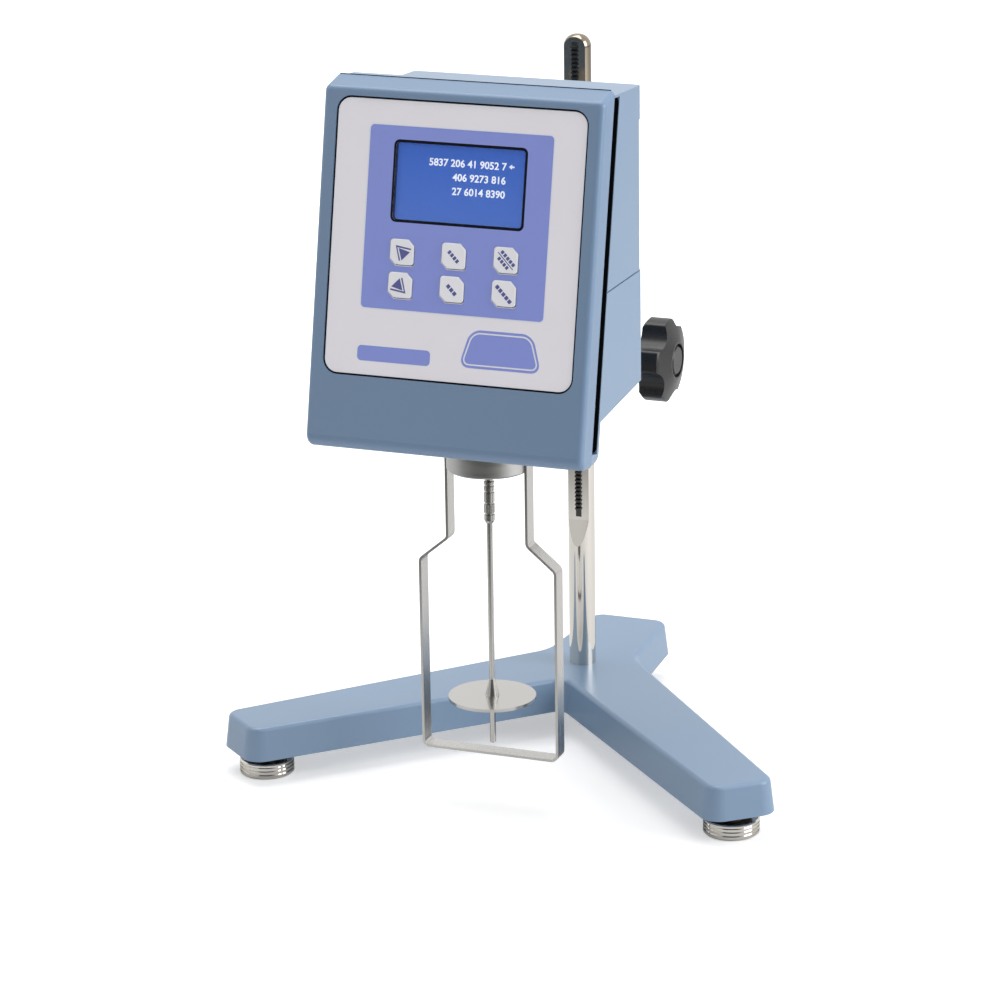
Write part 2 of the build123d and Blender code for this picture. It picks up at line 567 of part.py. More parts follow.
def bezel_blank():
    """Moulding with a sloping brow, rounded chin and softened side edges."""
    body = panel_profile([(HEAD_V0, BEZEL_REAR), (HEAD_V0, BEZEL_FRONT), (BROW_V, BEZEL_FRONT),
                          (HEAD_V1, BEZEL_REAR)], -HEAD_HALF_W, HEAD_HALF_W)
    front = body.edges().filter_by(Axis.X).group_by(Axis.Z)[-1].sort_by(Axis.Y)
    body = fillet(front[0], CHIN_R)
    front = body.edges().filter_by(Axis.X)
    brow = min(front, key=lambda e: abs(e.center().Y - BROW_V) + abs(e.center().Z - BEZEL_FRONT))
    body = fillet(brow, BROW_R)
    sides = [e for e in body.edges() if abs(abs(e.center().X) - HEAD_HALF_W) < 1e-6
             and e.center().Z > BEZEL_REAR + 0.1]
    return fillet(sides, BEZEL_EDGE_R)


def front_bezel():
    """Moulded front: brow, label recess, windows, rear cavity and lip cells."""
    wall = BEZEL_WALL
    body = bezel_blank()
    body -= panel_profile([(LIP_V, BEZEL_REAR - 1), (LIP_V, -wall),
                           (BROW_V - wall, -wall), (HEAD_V1 - BROW_INSIDE, BEZEL_REAR - 1)],
                          -HEAD_HALF_W + wall, HEAD_HALF_W - wall)
    body -= slab(-LABEL_W / 2 - LABEL_GAP, LABEL_W / 2 + LABEL_GAP, -LABEL_H / 2 - LABEL_GAP,
                 LABEL_H / 2 + LABEL_GAP, -OVERLAY_T, BEZEL_FRONT + 1, 8.0)
    body -= slab(LCD_U - LCD_W / 2, LCD_U + LCD_W / 2, LCD_V - LCD_H / 2, LCD_V + LCD_H / 2,
                 -10, 5, 2.0)
    for u, v in key_centres():
        body -= extrude(Pos(u, v, -10) * key_face(KEY_GAP), 15, dir=(0, 0, 1))
    width = (2 * (HEAD_HALF_W - wall) - (LIP_CELLS - 1) * LIP_RIB) / LIP_CELLS
    for i in range(LIP_CELLS):
        u0 = -HEAD_HALF_W + wall + i * (width + LIP_RIB)
        body -= slab(u0, u0 + width, HEAD_V0 + wall, LIP_V - 2.5, BEZEL_REAR - 1, -7.0, 1.0)
    return on_panel(body)


def keypad_overlay():
    """Printed membrane label with the display window and key windows."""
    sheet = slab(-LABEL_W / 2, LABEL_W / 2, -LABEL_H / 2, LABEL_H / 2, -OVERLAY_T, 0, 7.0)
    sheet -= slab(LCD_U - LCD_W / 2, LCD_U + LCD_W / 2, LCD_V - LCD_H / 2, LCD_V + LCD_H / 2,
                  -2, 1, 2.0)
    for u, v in key_centres():
        sheet -= extrude(Pos(u, v, -2) * key_face(KEY_GAP), 4, dir=(0, 0, 1))
    return on_panel(sheet)


def key(u, v):
    """Key cap with a plunger that reaches back to the switch board."""
    cap = extrude(Pos(u, v, -KEY_CAP_T) * key_face(), KEY_CAP_T + KEY_PROUD, dir=(0, 0, 1))
    cap = chamfer(cap.edges().group_by(Axis.Z)[-1], 0.35)
    skirt = slab(u - SKIRT_W / 2, u + SKIRT_W / 2, v - SKIRT_H / 2, v + SKIRT_H / 2,
                 -BEZEL_WALL - SKIRT_T, -BEZEL_WALL, 1.5)
    neck = extrude(Pos(u, v, -BEZEL_WALL - 0.5) * key_face(), 1.5, dir=(0, 0, 1))
    stem = slab(u - STEM_W / 2, u + STEM_W / 2, v - STEM_W / 2, v + STEM_W / 2,
                -BEZEL_WALL - STEM_END, -BEZEL_WALL - 1)
    return on_panel(cap + neck + skirt + stem)


def lcd_glass():
    """Display cover glass held in the window."""
    glass = slab(LCD_U - LCD_W / 2, LCD_U + LCD_W / 2, LCD_V - LCD_H / 2, LCD_V + LCD_H / 2,
                 -BEZEL_WALL, -0.8, 2.0)
    return on_panel(glass)


def lcd_module():
    """Display module behind the glass: metal frame on its circuit board."""
    frame = slab(LCD_U - MODULE_W / 2, LCD_U + MODULE_W / 2, LCD_V - MODULE_H / 2,
                 LCD_V + MODULE_H / 2, MODULE_REAR, -BEZEL_WALL, 1.0)
    board = slab(LCD_U - CARRIER_W / 2, LCD_U + CARRIER_W / 2, LCD_V - CARRIER_H / 2,
                 LCD_V + CARRIER_H / 2, MODULE_REAR - CARRIER_T, MODULE_REAR)
    side, depth = CARRIER_W / 2 - CARRIER_EDGE, -BEZEL_WALL - MODULE_REAR
    for su in (-1, 1):
        for sv in (-1, 1):
            board -= Pos(LCD_U + su * side, LCD_V + sv * CARRIER_HOLE_V, MODULE_REAR) * \
                Cylinder(1.6, 4 * CARRIER_T)
            frame += Pos(LCD_U + su * side, LCD_V + sv * CARRIER_POST_V,
                         MODULE_REAR + depth / 2) * Cylinder(2.6, depth)
    return on_panel(frame + board)


def keypad_board():
    """Switch board with one dome switch under each key."""
    level = -BEZEL_WALL - STEM_END - KEY_TRAVEL - 0.15
    seat = level - PAD_T
    board = slab(-PAD_BOARD_HALF_W, PAD_BOARD_HALF_W, PAD_BOARD_V0, PAD_BOARD_V1,
                 seat - PAD_BOARD_T, seat, 1.0)
    for u, v in key_centres():
        board += slab(u - PAD_W / 2, u + PAD_W / 2, v - PAD_W / 2, v + PAD_W / 2, seat, level, 0.6)
    for u, v in board_posts():
        board += Pos(u, v, (seat - BEZEL_WALL) / 2) * Cylinder(2.0, -BEZEL_WALL - seat)
    return on_panel(board)


def board_posts():
    """Panel coordinates of the switch board's spacers."""
    return [(u, v) for u in (KEY_U - KEY_US / 2, KEY_U + KEY_US / 2)
            for v in (sum(KEY_V) / 2,)]


def top_point(w, drop=0.0):
    """(y, z) where a plane parallel to the panel meets the head's top face."""
    c, s = math.cos(math.radians(TILT)), math.sin(math.radians(TILT))
    rise = HEAD_TOP - drop + TOP_FALL * (BACK_Y - PANEL_Y + w * c) - PANEL_Z - w * s
    return panel_point(rise / (c + TOP_FALL * s), w)


def over_top(drop):
    """Everything above the top face lowered by a drop."""
    near, far = top_point(FAR, drop), top_point(-FAR, drop)
    return side_profile([near, far, (far[0], FAR), (near[0], FAR)], -FAR, FAR)


def groove_frame():
    """Black gasket frame at the bottom of the groove behind the bezel."""
    half = HEAD_HALF_W - GROOVE_D
    ring = slab(-half, half, GASKET_V0, HEAD_V1 + GASKET_W, GROOVE_REAR, BEZEL_REAR, 4.0)
    ring -= slab(-half + GASKET_W, half - GASKET_W, GASKET_V0 + 2 * GASKET_W, BROW_V - GASKET_W,
                 GROOVE_REAR - 1, BEZEL_REAR + 1, 3.0)
    return on_panel(ring) - over_top(HOOD_T)


def shell_profile(inset=0.0, back_y=BACK_Y):
    """Side outline of the head's rear body as (y, z) points."""
    front = FLANGE_REAR + (FRONT_OPEN if inset else 0)
    top_front = top_point(front, inset)
    back = back_y - inset
    top_back = HEAD_TOP - inset + TOP_FALL * (BACK_Y - back)
    y3, z3 = panel_point(BODY_BOTTOM_V, FLANGE_REAR)
    slope = (BODY_BOTTOM_BACK - z3) / (BACK_Y - y3)
    lift = inset * math.sqrt(1 + slope * slope)
    bottom = lambda y: z3 + (y - y3) * slope + lift
    yf, zf = panel_point(BODY_BOTTOM_V + inset, front)
    return [top_front, (back, top_back), (back, bottom(back)), (yf, bottom(yf))]


def shell_solid(inset=0.0):
    """Rear body as a deep right part and a shallow left part, optionally inset."""
    deep = side_profile(shell_profile(inset), BODY_X0 + inset, HEAD_HALF_W - inset)
    left = side_profile(shell_profile(inset, LEFT_BACK_Y), -HEAD_HALF_W + inset,
                        BODY_X0 + 2 * inset + 1)
    return deep, left


def head_shell():
    """Whole rear shell of the head before it is split at the seam."""
    deep, left = shell_solid()
    deep = fillet(deep.edges().filter_by(Axis.Z).group_by(Axis.Y)[-1], 3.0)
    side = slab(-HEAD_HALF_W, HEAD_HALF_W, HEAD_V0, HEAD_V1 + FLANGE_R, FLANGE_REAR, GROOVE_REAR,
                FLANGE_R)
    chin = slab(-HEAD_HALF_W, HEAD_HALF_W, HEAD_V0, HEAD_V1, GROOVE_REAR, BEZEL_REAR - TRIM_GAP,
                FLANGE_R)
    chin -= slab(-FAR, FAR, GROOVE_V0, FAR, GROOVE_REAR - 1, BEZEL_REAR + 1)
    half = HEAD_HALF_W - GROOVE_D
    chin -= slab(-half, half, GASKET_V0, HEAD_V1, GROOVE_REAR - 1, BEZEL_REAR + 1, 4.0)
    hood = side_profile([top_point(BEZEL_REAR - TRIM_GAP), top_point(GROOVE_REAR - 1),
                         top_point(GROOVE_REAR - 1, HOOD_T),
                         top_point(BEZEL_REAR - TRIM_GAP, HOOD_T)], -HEAD_HALF_W, HEAD_HALF_W)
    shell = deep + left + (on_panel(side) - over_top(0.0)) + on_panel(chin) + hood
    shell -= box(BODY_X0 - 1, HEAD_HALF_W + 1, RECESS_Y, BACK_Y + 1, SEAM_Z, RECESS_TOP)
    inner_deep, inner_left = shell_solid(SHELL)
    inner = inner_deep + inner_left
    inner -= box(BODY_X0 - 1, HEAD_HALF_W + 1, RECESS_Y - SHELL, BACK_Y + 1,
                 SEAM_Z - SHELL, RECESS_TOP + SHELL)
    return shell - inner


def rear_housing(shell):
    """Upper rear cover with the connector recess."""
    part = shell & above(SEAM_Z)
    part -= box(CUT_X0, CUT_X1, PLATE_FACE - PLATE_T, RECESS_Y + 1, CUT_Z0, CUT_Z1)
    for x, z in panel_screw_points():
        part -= ycyl(PLATE_SCREW_R, PLATE_FACE - PLATE_T, RECESS_Y + 1, x, z)
    return part


def lower_housing(shell):
    """Lower rear cover that carries the chassis and bolts to the arm."""
    part = shell & below(SEAM_Z)
    deep, left = shell_solid(SEAM_DEPTH)
    part -= box(-FAR, FAR, -FAR, FAR, SEAM_Z - SEAM_LINE, SEAM_Z) - deep - left
    inside = side_profile(shell_profile(SHELL - 0.5), BODY_X0 + 1, HEAD_HALF_W - 1)
    for x, y in chassis_posts():
        part += cyl(4.0, 200, CHASSIS_Z, x, y) & inside
    part -= cyl(COLLAR_R + TRIM_GAP, 150, CHASSIS_Z - 1, 0, AXIS_Y)
    for x, z in arm_screw_points():
        part -= ycyl(ARM_SCREW_R, BACK_Y - 12, BACK_Y + 1, x, z)
    return part


def chassis_posts():
    """Plan centres of the four bosses under the chassis."""
    return [(x, y) for y in (CHASSIS_Y1 - 5.0, CHASSIS_Y0 + 3.5)
            for x in (BODY_X0 + POST_SIDE + 1.0, HEAD_HALF_W - POST_SIDE)]


def back_panel():
    """Connector plate behind the recess with its four openings."""
    plate = box(PLATE_X0, PLATE_X1, RECESS_Y - SHELL - PLATE_T, RECESS_Y - SHELL, CUT_Z0 - 5,
                CUT_Z1 + 5)
    y0, y1 = RECESS_Y - SHELL - PLATE_T - 1, RECESS_Y - SHELL + 1
    plate -= box(INLET_X - INLET_W / 2, INLET_X + INLET_W / 2, y0, y1, CONN_Z - INLET_H / 2,
                 CONN_Z + INLET_H / 2)
    plate -= box(ROCKER_X - SWITCH_W / 2, ROCKER_X + SWITCH_W / 2, y0, y1, CONN_Z - SWITCH_H / 2,
                 CONN_Z + SWITCH_H / 2)
    plate -= box(SERIAL_X - SERIAL_W / 2, SERIAL_X + SERIAL_W / 2, y0, y1, CONN_Z - SERIAL_H / 2,
                 CONN_Z + SERIAL_H / 2)
    plate -= ycyl(PROBE_R, y0, y1, PROBE_X, CONN_Z)
    for x, z in panel_screw_points():
        plate -= ycyl(PLATE_SCREW_R, y0, y1, x, z)
    return plate


def panel_screw_points():
    """Centres of the connector plate's four screws."""
    return [(x, z) for x in (CUT_X0 - 2.0, CUT_X1 + 1.6) for z in (CUT_Z0 + 4, CUT_Z1 - 4)]


def panel_screws():
    """Four small screws that hold the connector plate."""
    return Compound(children=[Pos(x, RECESS_Y, z) * Rot(90, 0, 0)
                              * socket_screw(PLATE_HEAD_R, 1.6, PLATE_SCREW_R,
                                             SHELL + PLATE_T + 1.5)
                              for x, z in panel_screw_points()])


def power_inlet():
    """Mains inlet: flanged body, deep cavity and three blades."""
    body = box(INLET_X - INLET_W / 2, INLET_X + INLET_W / 2, PLATE_FACE - INLET_D, PLATE_FACE,
               CONN_Z - INLET_H / 2, CONN_Z + INLET_H / 2)
    rim = Pos(INLET_X, PLATE_FACE + 1, CONN_Z) * Rot(90, 0, 0) * extrude(
        RectangleRounded(INLET_RIM_W, INLET_RIM_H, 2), 1, both=True)
    body += rim
    mouth = chamfer(Rectangle(INLET_MOUTH_W, INLET_MOUTH_H).vertices().group_by(Axis.Y)[0], 4)
    body -= Pos(INLET_X, PLATE_FACE - INLET_MOUTH_D + 10, CONN_Z) * Rot(90, 0, 0) * extrude(
        mouth, 10, both=True)
    for x, z in BLADE_AT:
        body += box(INLET_X + x - 1, INLET_X + x + 1, PLATE_FACE - 18, PLATE_FACE - 3,
                    CONN_Z + z - 2, CONN_Z + z + 2)
    return body


def switch_frame():
    """Frame of the power switch."""
    side = CONN_WIDTHS[2] / 2
    frame = box(ROCKER_X - side, ROCKER_X + side, PLATE_FACE, PLATE_FACE + 1.6, CONN_Z - 11,
                CONN_Z + 11)
    frame += box(ROCKER_X - SWITCH_W / 2, ROCKER_X + SWITCH_W / 2, PLATE_FACE - 14, PLATE_FACE,
                 CONN_Z - SWITCH_H / 2, CONN_Z + SWITCH_H / 2)
    w, h = ROCKER_W / 2 + ROCKER_GAP, ROCKER_H / 2 + ROCKER_GAP
    frame -= box(ROCKER_X - w, ROCKER_X + w, PLATE_FACE - 9.5, PLATE_FACE + 3, CONN_Z - h,
                 CONN_Z + h)
    return frame


def power_rocker():
    """Rocking paddle with a shallow V face, pivoted in its frame."""
    y = PLATE_FACE
    h = ROCKER_H / 2
    points = [(y - 7.0, CONN_Z - 2.5), (y - 1.0, CONN_Z - h), (y + 1.3, CONN_Z - h),
              (y + 0.9, CONN_Z), (y + 2.6, CONN_Z + h - 0.6), (y - 1.0, CONN_Z + h - 0.6),
              (y - 7.0, CONN_Z + 2.5)]
    return side_profile(points, ROCKER_X - ROCKER_W / 2, ROCKER_X + ROCKER_W / 2)


def serial_port():
    """Nine-way socket with its D-shaped shell and jack posts."""
    body = box(SERIAL_X - SERIAL_W / 2, SERIAL_X + SERIAL_W / 2, PLATE_FACE - 9, PLATE_FACE,
               CONN_Z - SERIAL_H / 2, CONN_Z + SERIAL_H / 2)
    side, rise = CONN_WIDTHS[0] / 2, SERIAL_H / 2 + 1.0
    body += box(SERIAL_X - side, SERIAL_X + side, PLATE_FACE, PLATE_FACE + 1.0, CONN_Z - rise,
                CONN_Z + rise)
    shell = Pos(SERIAL_X, PLATE_FACE + 3, CONN_Z) * Rot(90, 0, 0) * extrude(
        Trapezoid(17.0, 8.4, 80), 3, both=True)
    body += shell
    for i in range(9):
        x = SERIAL_X + (i - 2 if i < 5 else i - 6.5) * PIN_PITCH
        z = CONN_Z + (PIN_ROW if i < 5 else -PIN_ROW)
        body -= ycyl(0.55, PLATE_FACE + 1, PLATE_FACE + 8, x, z)
    for side in (-1, 1):
        jack = Pos(SERIAL_X + side * JACK_AT, PLATE_FACE + 3, CONN_Z) * Rot(90, 0, 0) * extrude(
            RegularPolygon(2.4, 6), 2, both=True)
        body += jack
    return body


def probe_socket():
    """Round temperature-probe socket with five contact holes."""
    body = ycyl(PROBE_R, PLATE_FACE - 9, PLATE_FACE, PROBE_X, CONN_Z)
    body += ycyl(PROBE_RIM_R, PLATE_FACE, PLATE_FACE + 2.4, PROBE_X, CONN_Z)
    body -= ycyl(PROBE_CUP_R, PLATE_FACE - 1.5, PLATE_FACE + 3, PROBE_X, CONN_Z)
    for i in range(5):
        a = math.radians(90 + 72 * i)
        body -= ycyl(0.6, PLATE_FACE - 5, PLATE_FACE, PROBE_X + PROBE_PIN_AT * math.cos(a),
                     CONN_Z + PROBE_PIN_AT * math.sin(a))
    return body


# ---- inside the head --------------------------------------------------------
def chassis_plate():
    """Plate that carries the measuring drive."""
    plate = box(BODY_X0 + CHASSIS_SIDE + 1.0, HEAD_HALF_W - CHASSIS_SIDE, CHASSIS_Y0, CHASSIS_Y1,
                CHASSIS_Z, CHASSIS_Z + CHASSIS_T)
    plate = chamfer(plate.edges().filter_by(Axis.Z), 4)
    plate -= cyl(COLLAR_BORE_R + 1, CHASSIS_Z - 1, CHASSIS_Z + 5, 0, AXIS_Y)
    plate -= box(HEAD_HALF_W - 46, HEAD_HALF_W - 16, CHASSIS_Y0 + 13, CHASSIS_Y1 - 12,
                 CHASSIS_Z - 1, CHASSIS_Z + 5)
    return plate


def main_board():
    """Main circuit board behind the display, with its larger components."""
    half = HEAD_HALF_W - BOARD_SIDE
    board = slab(-half, half, BOARD_V0, BOARD_V1, BOARD_W - BOARD_T, BOARD_W, 2.0)
    for u0, v0, du, dv, t in BOARD_PARTS:
        u = -half + u0 * half / BOARD_HALF
        v = BOARD_V0 + v0
        board += slab(u, u + du, v, v + dv, BOARD_W - BOARD_T - t, BOARD_W - BOARD_T)
    for u, v in main_board_posts():
        board += Pos(u, v, (BOARD_W - BEZEL_WALL) / 2) * Cylinder(3.0, -BOARD_W - BEZEL_WALL)
    return on_panel(board)


def main_board_posts():
    """Panel coordinates of the main board's four spacers."""
    half = HEAD_HALF_W - BOARD_SIDE
    return [(u, v) for u in (-half + 5, half - 5) for v in (BOARD_V0 + 8, BOARD_V1 - 6)]


def motor_bracket():
    """Plate on four pillars that holds the motor over the discs."""
    z0 = MOTOR_Z0 - BRACKET_T
    plate = Pos(0, AXIS_Y, z0 + BRACKET_T / 2) * Box(BRACKET_W, BRACKET_W, BRACKET_T)
    plate = fillet(plate.edges().filter_by(Axis.Z), 4)
    for sx in (-1, 1):
        for sy in (-1, 1):
            plate += cyl(PILLAR_R, CHASSIS_Z + CHASSIS_T, z0, sx * PILLAR_AT,
                         AXIS_Y + sy * PILLAR_AT)
    plate -= cyl(MOTOR_BOSS_R, z0 - 1, MOTOR_Z0 + 1, 0, AXIS_Y)
    return plate


def stepper_motor():
    """Square stepper motor with cut corners and end caps."""
    z0, z1 = MOTOR_Z0, MOTOR_Z0 + MOTOR_H
    body = Pos(0, AXIS_Y, (z0 + z1) / 2) * Box(MOTOR_W, MOTOR_W, MOTOR_H)
    body = chamfer(body.edges().filter_by(Axis.Z), 3.5)
    waist = Pos(0, AXIS_Y, (z0 + z1) / 2) * (
        Box(MOTOR_W + 2, MOTOR_W + 2, MOTOR_H - 2 * MOTOR_CAP_H) - Box(MOTOR_W - 1.4, MOTOR_W - 1.4, MOTOR_H))
    body -= waist
    body += cyl(MOTOR_BOSS_R, z0 - 2, z0, 0, AXIS_Y)
    body -= cyl(DRIVE_R + RUN_FIT, z0 - 3, z1 - 4, 0, AXIS_Y)
    return body


def encoder_sensor():
    """Slotted sensor block that reads both discs."""
    block = box(SENSOR_X0, SENSOR_X1, AXIS_Y - SENSOR_W / 2, AXIS_Y + SENSOR_W / 2,
                CHASSIS_Z + CHASSIS_T, HIGH_DISC_Z + 6)
    for z in (LOW_DISC_Z, HIGH_DISC_Z):
        block -= box(SENSOR_SLOT_X, SENSOR_X1 + 1, AXIS_Y - SENSOR_W, AXIS_Y + SENSOR_W,
                     z - 1.6, z + 2.6)
    return block


def drive_shaft():
    """Motor-side shaft with its slotted disc and the arm that holds the spring."""
    z = HIGH_DISC_Z
    body = cyl(DRIVE_R, z - 2.5, DRIVE_TOP, 0, AXIS_Y)
    disc = cyl(DISC_R, z, z + 1.0, 0, AXIS_Y) + cyl(DRIVE_HUB_R, z, z + DRIVE_HUB_H, 0, AXIS_Y)
    slots = Pos(0, AXIS_Y, z) * PolarLocations(DISC_SLOT_AT, SLOT_COUNT)
    disc -= [loc * Box(SLOT_L, SLOT_W, 6 * SLOT_W) for loc in slots]
    arm = box(SPRING_R + SPRING_T, SPRING_R + SPRING_T + 1.8, AXIS_Y - 1, AXIS_Y + 1,
              SPRING_Z - 0.5, z)
    return body + disc + arm


def pivot_shaft():
    """Measuring shaft with its slotted disc, hung below the drive."""
    z = LOW_DISC_Z
    body = cyl(PIVOT_R, COLLAR_Z0 - 3.0, HIGH_DISC_Z - 3.4, 0, AXIS_Y)
    disc = cyl(DISC_R, z, z + 1.0, 0, AXIS_Y) + cyl(5.0, z - 3.0, z, 0, AXIS_Y)
    slots = Pos(0, AXIS_Y, z) * PolarLocations(DISC_SLOT_AT, SLOT_COUNT)
    disc -= [loc * Box(SLOT_L, SLOT_W, 6 * SLOT_W) for loc in slots]
    return body + disc


def torsion_spring():
    """Flat spiral spring between the measuring shaft and the drive arm."""
    steps = 36
    inner, outer = [], []
    for i in range(steps + 1):
        f = i / steps
        a, r = 2 * math.pi * SPRING_TURNS * f, PIVOT_R + (SPRING_R - PIVOT_R) * f
        inner.append((r * math.cos(a), r * math.sin(a)))
        outer.append(((r + SPRING_T) * math.cos(a), (r + SPRING_T) * math.sin(a)))
    edge = [Spline(*inner), Line(inner[-1], outer[-1]), Spline(*reversed(outer)),
            Line(outer[0], inner[0])]
    face = make_face(edge)
    return Pos(0, AXIS_Y, SPRING_Z) * extrude(face, SPRING_H, dir=(0, 0, 1))


def spindle_collar():
    """Turned nose that carries the lower bearing, with two flats for the guard."""
    points = [(BEARING_R, BEARING_Z + BEARING_H), (BEARING_R, BEARING_Z),
              (NOSE_BORE_R, BEARING_Z), (NOSE_BORE_R, COLLAR_Z0), (COLLAR_R - 0.8, COLLAR_Z0),
              (COLLAR_R, COLLAR_Z0 + 0.8), (COLLAR_R, CHASSIS_Z), (COLLAR_BORE_R, CHASSIS_Z),
              (COLLAR_BORE_R, BEARING_Z + BEARING_H)]
    body = turned(points, 0, AXIS_Y)
    far = COLLAR_R + 5
    for side in (-1, 1):
        lo, hi = sorted((side * FLAT_X, side * far))
        body -= box(lo, hi, AXIS_Y - 30, AXIS_Y + 30, COLLAR_Z0 - 1, GUARD_TOP)
        lo, hi = sorted((side * 14.0, side * far))
        body -= xcyl(THUMB_THREAD_R, lo, hi, AXIS_Y, GUARD_SCREW_Z)
    return body


def jewel_bearing():
    """Lower bearing ring of the measuring shaft."""
    ring = cyl(BEARING_R, BEARING_Z, BEARING_Z + BEARING_H, 0, AXIS_Y)
    return ring - cyl(PIVOT_R + RUN_FIT, BEARING_Z - 1, BEARING_Z + BEARING_H + 1, 0, AXIS_Y)


def guard_leg():
    """Bent strip guard: collar legs, outward kinks and the lower loop."""
    top_x = FLAT_X + GUARD_T / 2
    half = [(top_x, GUARD_TOP), (top_x, KINK_Z1), (GUARD_WIDE, KINK_Z0),
            (GUARD_WIDE, GUARD_BOTTOM + GUARD_T / 2)]
    line = half + [(-x, z) for x, z in reversed(half)]
    plane = Plane(origin=(0, AXIS_Y, 0), x_dir=(1, 0, 0), z_dir=(0, -1, 0))
    outline = guard_outline(line)
    strip = extrude(plane * outline, GUARD_W / 2, both=True)
    for side in (-1, 1):
        lo, hi = sorted((side * (FLAT_X - 2), side * (FLAT_X + 5)))
        strip -= xcyl(THUMB_THREAD_R + 0.2, lo, hi, AXIS_Y, GUARD_SCREW_Z)
    return strip


def guard_outline(line):
    """Closed front outline of the bent strip, bends rounded."""
    half = GUARD_T / 2
    normals = []
    for (x0, z0), (x1, z1) in zip(line, line[1:]):
        d = math.hypot(x1 - x0, z1 - z0)
        normals.append(((z1 - z0) / d, -(x1 - x0) / d))
    sides = []
    for sign in (1, -1):
        points = []
        for i, (x, z) in enumerate(line):
            if i in (0, len(line) - 1):
                n = normals[0] if i == 0 else normals[-1]
                points.append((x + sign * half * n[0], z + sign * half * n[1]))
            else:
                a, b = normals[i - 1], normals[i]
                k = half / (1 + a[0] * b[0] + a[1] * b[1])
                points.append((x + sign * k * (a[0] + b[0]), z + sign * k * (a[1] + b[1])))
        sides.append(points)
    face = make_face(Polyline(*sides[0], *reversed(sides[1]), close=True))
    for v in [v for v in face.vertices() if v.Y < GUARD_TOP - 1]:
        corner = min(face.vertices(), key=lambda c: math.hypot(c.X - v.X, c.Y - v.Y))
        face = fillet(corner, bend_radius(v, line))
    return face


def bend_radius(v, line):
    """Inside or outside radius of the bend at a corner of the strip."""
    i = min(range(len(line)), key=lambda k: math.hypot(v.X - line[k][0], v.Y - line[k][1]))
    (xa, za), (xb, zb), (xc, zc) = line[i - 1], line[i], line[i + 1]
    turn = (xb - xa) * (zc - zb) - (zb - za) * (xc - xb)
    on_left = (v.X - xb) * -(zb - za) + (v.Y - zb) * (xb - xa) > 0
    return BEND_R if (turn > 0) == on_left else BEND_R + GUARD_T


def guard_screws():
    """Two knurled thumb screws that clamp the guard to the collar."""
    screws = []
    for side in (-1, 1):
        x0 = FLAT_X + GUARD_T
        head = Pos(0, 0, THUMB_T / 2) * Cylinder(THUMB_R, THUMB_T)
        head -= [loc * Cylinder(0.5, 20) for loc in PolarLocations(THUMB_R + 0.15, THUMB_KNURLS)]
        screw = head + Pos(0, 0, -3.5) * Cylinder(THUMB_THREAD_R, 7.0)
        screws.append(Pos(side * x0, AXIS_Y, GUARD_SCREW_Z) * Rot(0, side * 90, 0) * screw)
    return Compound(children=screws)


def spindle_coupling():
    """Coupling nut between the measuring shaft and the spindle, with a knurled band."""
    r, z0 = COUPLING_R, COUPLING_Z0
    top = COLLAR_Z0 + 4.4
    neck = r - 0.8
    points = [(0, z0), (r - 0.8, z0), (r, z0 + 1.4)]
    for low in (4.4, 10.2, 16.6, 20.0):
        points += [(r, z0 + low), (neck, z0 + low + 0.3), (neck, z0 + low + 0.9),
                   (r, z0 + low + 1.2)]
    points += [(r, z0 + 22.6), (neck, z0 + 23.2), (neck, top), (0, top)]
    body = turned(points, 0, AXIS_Y)
    knurl = Pos(0, AXIS_Y, z0 + 7.9) * PolarLocations(r + 0.15, 14)
    body -= [loc * Cylinder(0.4, 4.6) for loc in knurl]
    body -= cyl(PIVOT_R, COLLAR_Z0 - 3.0, top + 1, 0, AXIS_Y)
    body -= cyl(SPINDLE_R, z0 - 1, z0 + 10, 0, AXIS_Y)
    return body


def disc_spindle():
    """Disc spindle: long shaft, conical hub, thin disc and tail."""
    r, top = SPINDLE_R, COUPLING_Z0 + 10
    points = [(0, SPINDLE_TIP), (r - 0.3, SPINDLE_TIP), (r, SPINDLE_TIP + 0.3), (r, DISC_Z),
              (SPIN_DISC_R, DISC_Z), (SPIN_DISC_R, DISC_Z + DISC_T), (3.8, DISC_Z + DISC_T),
              (r, DISC_Z + DISC_T + 9.0), (r, top), (0, top)]
    return turned(points, 0, AXIS_Y)


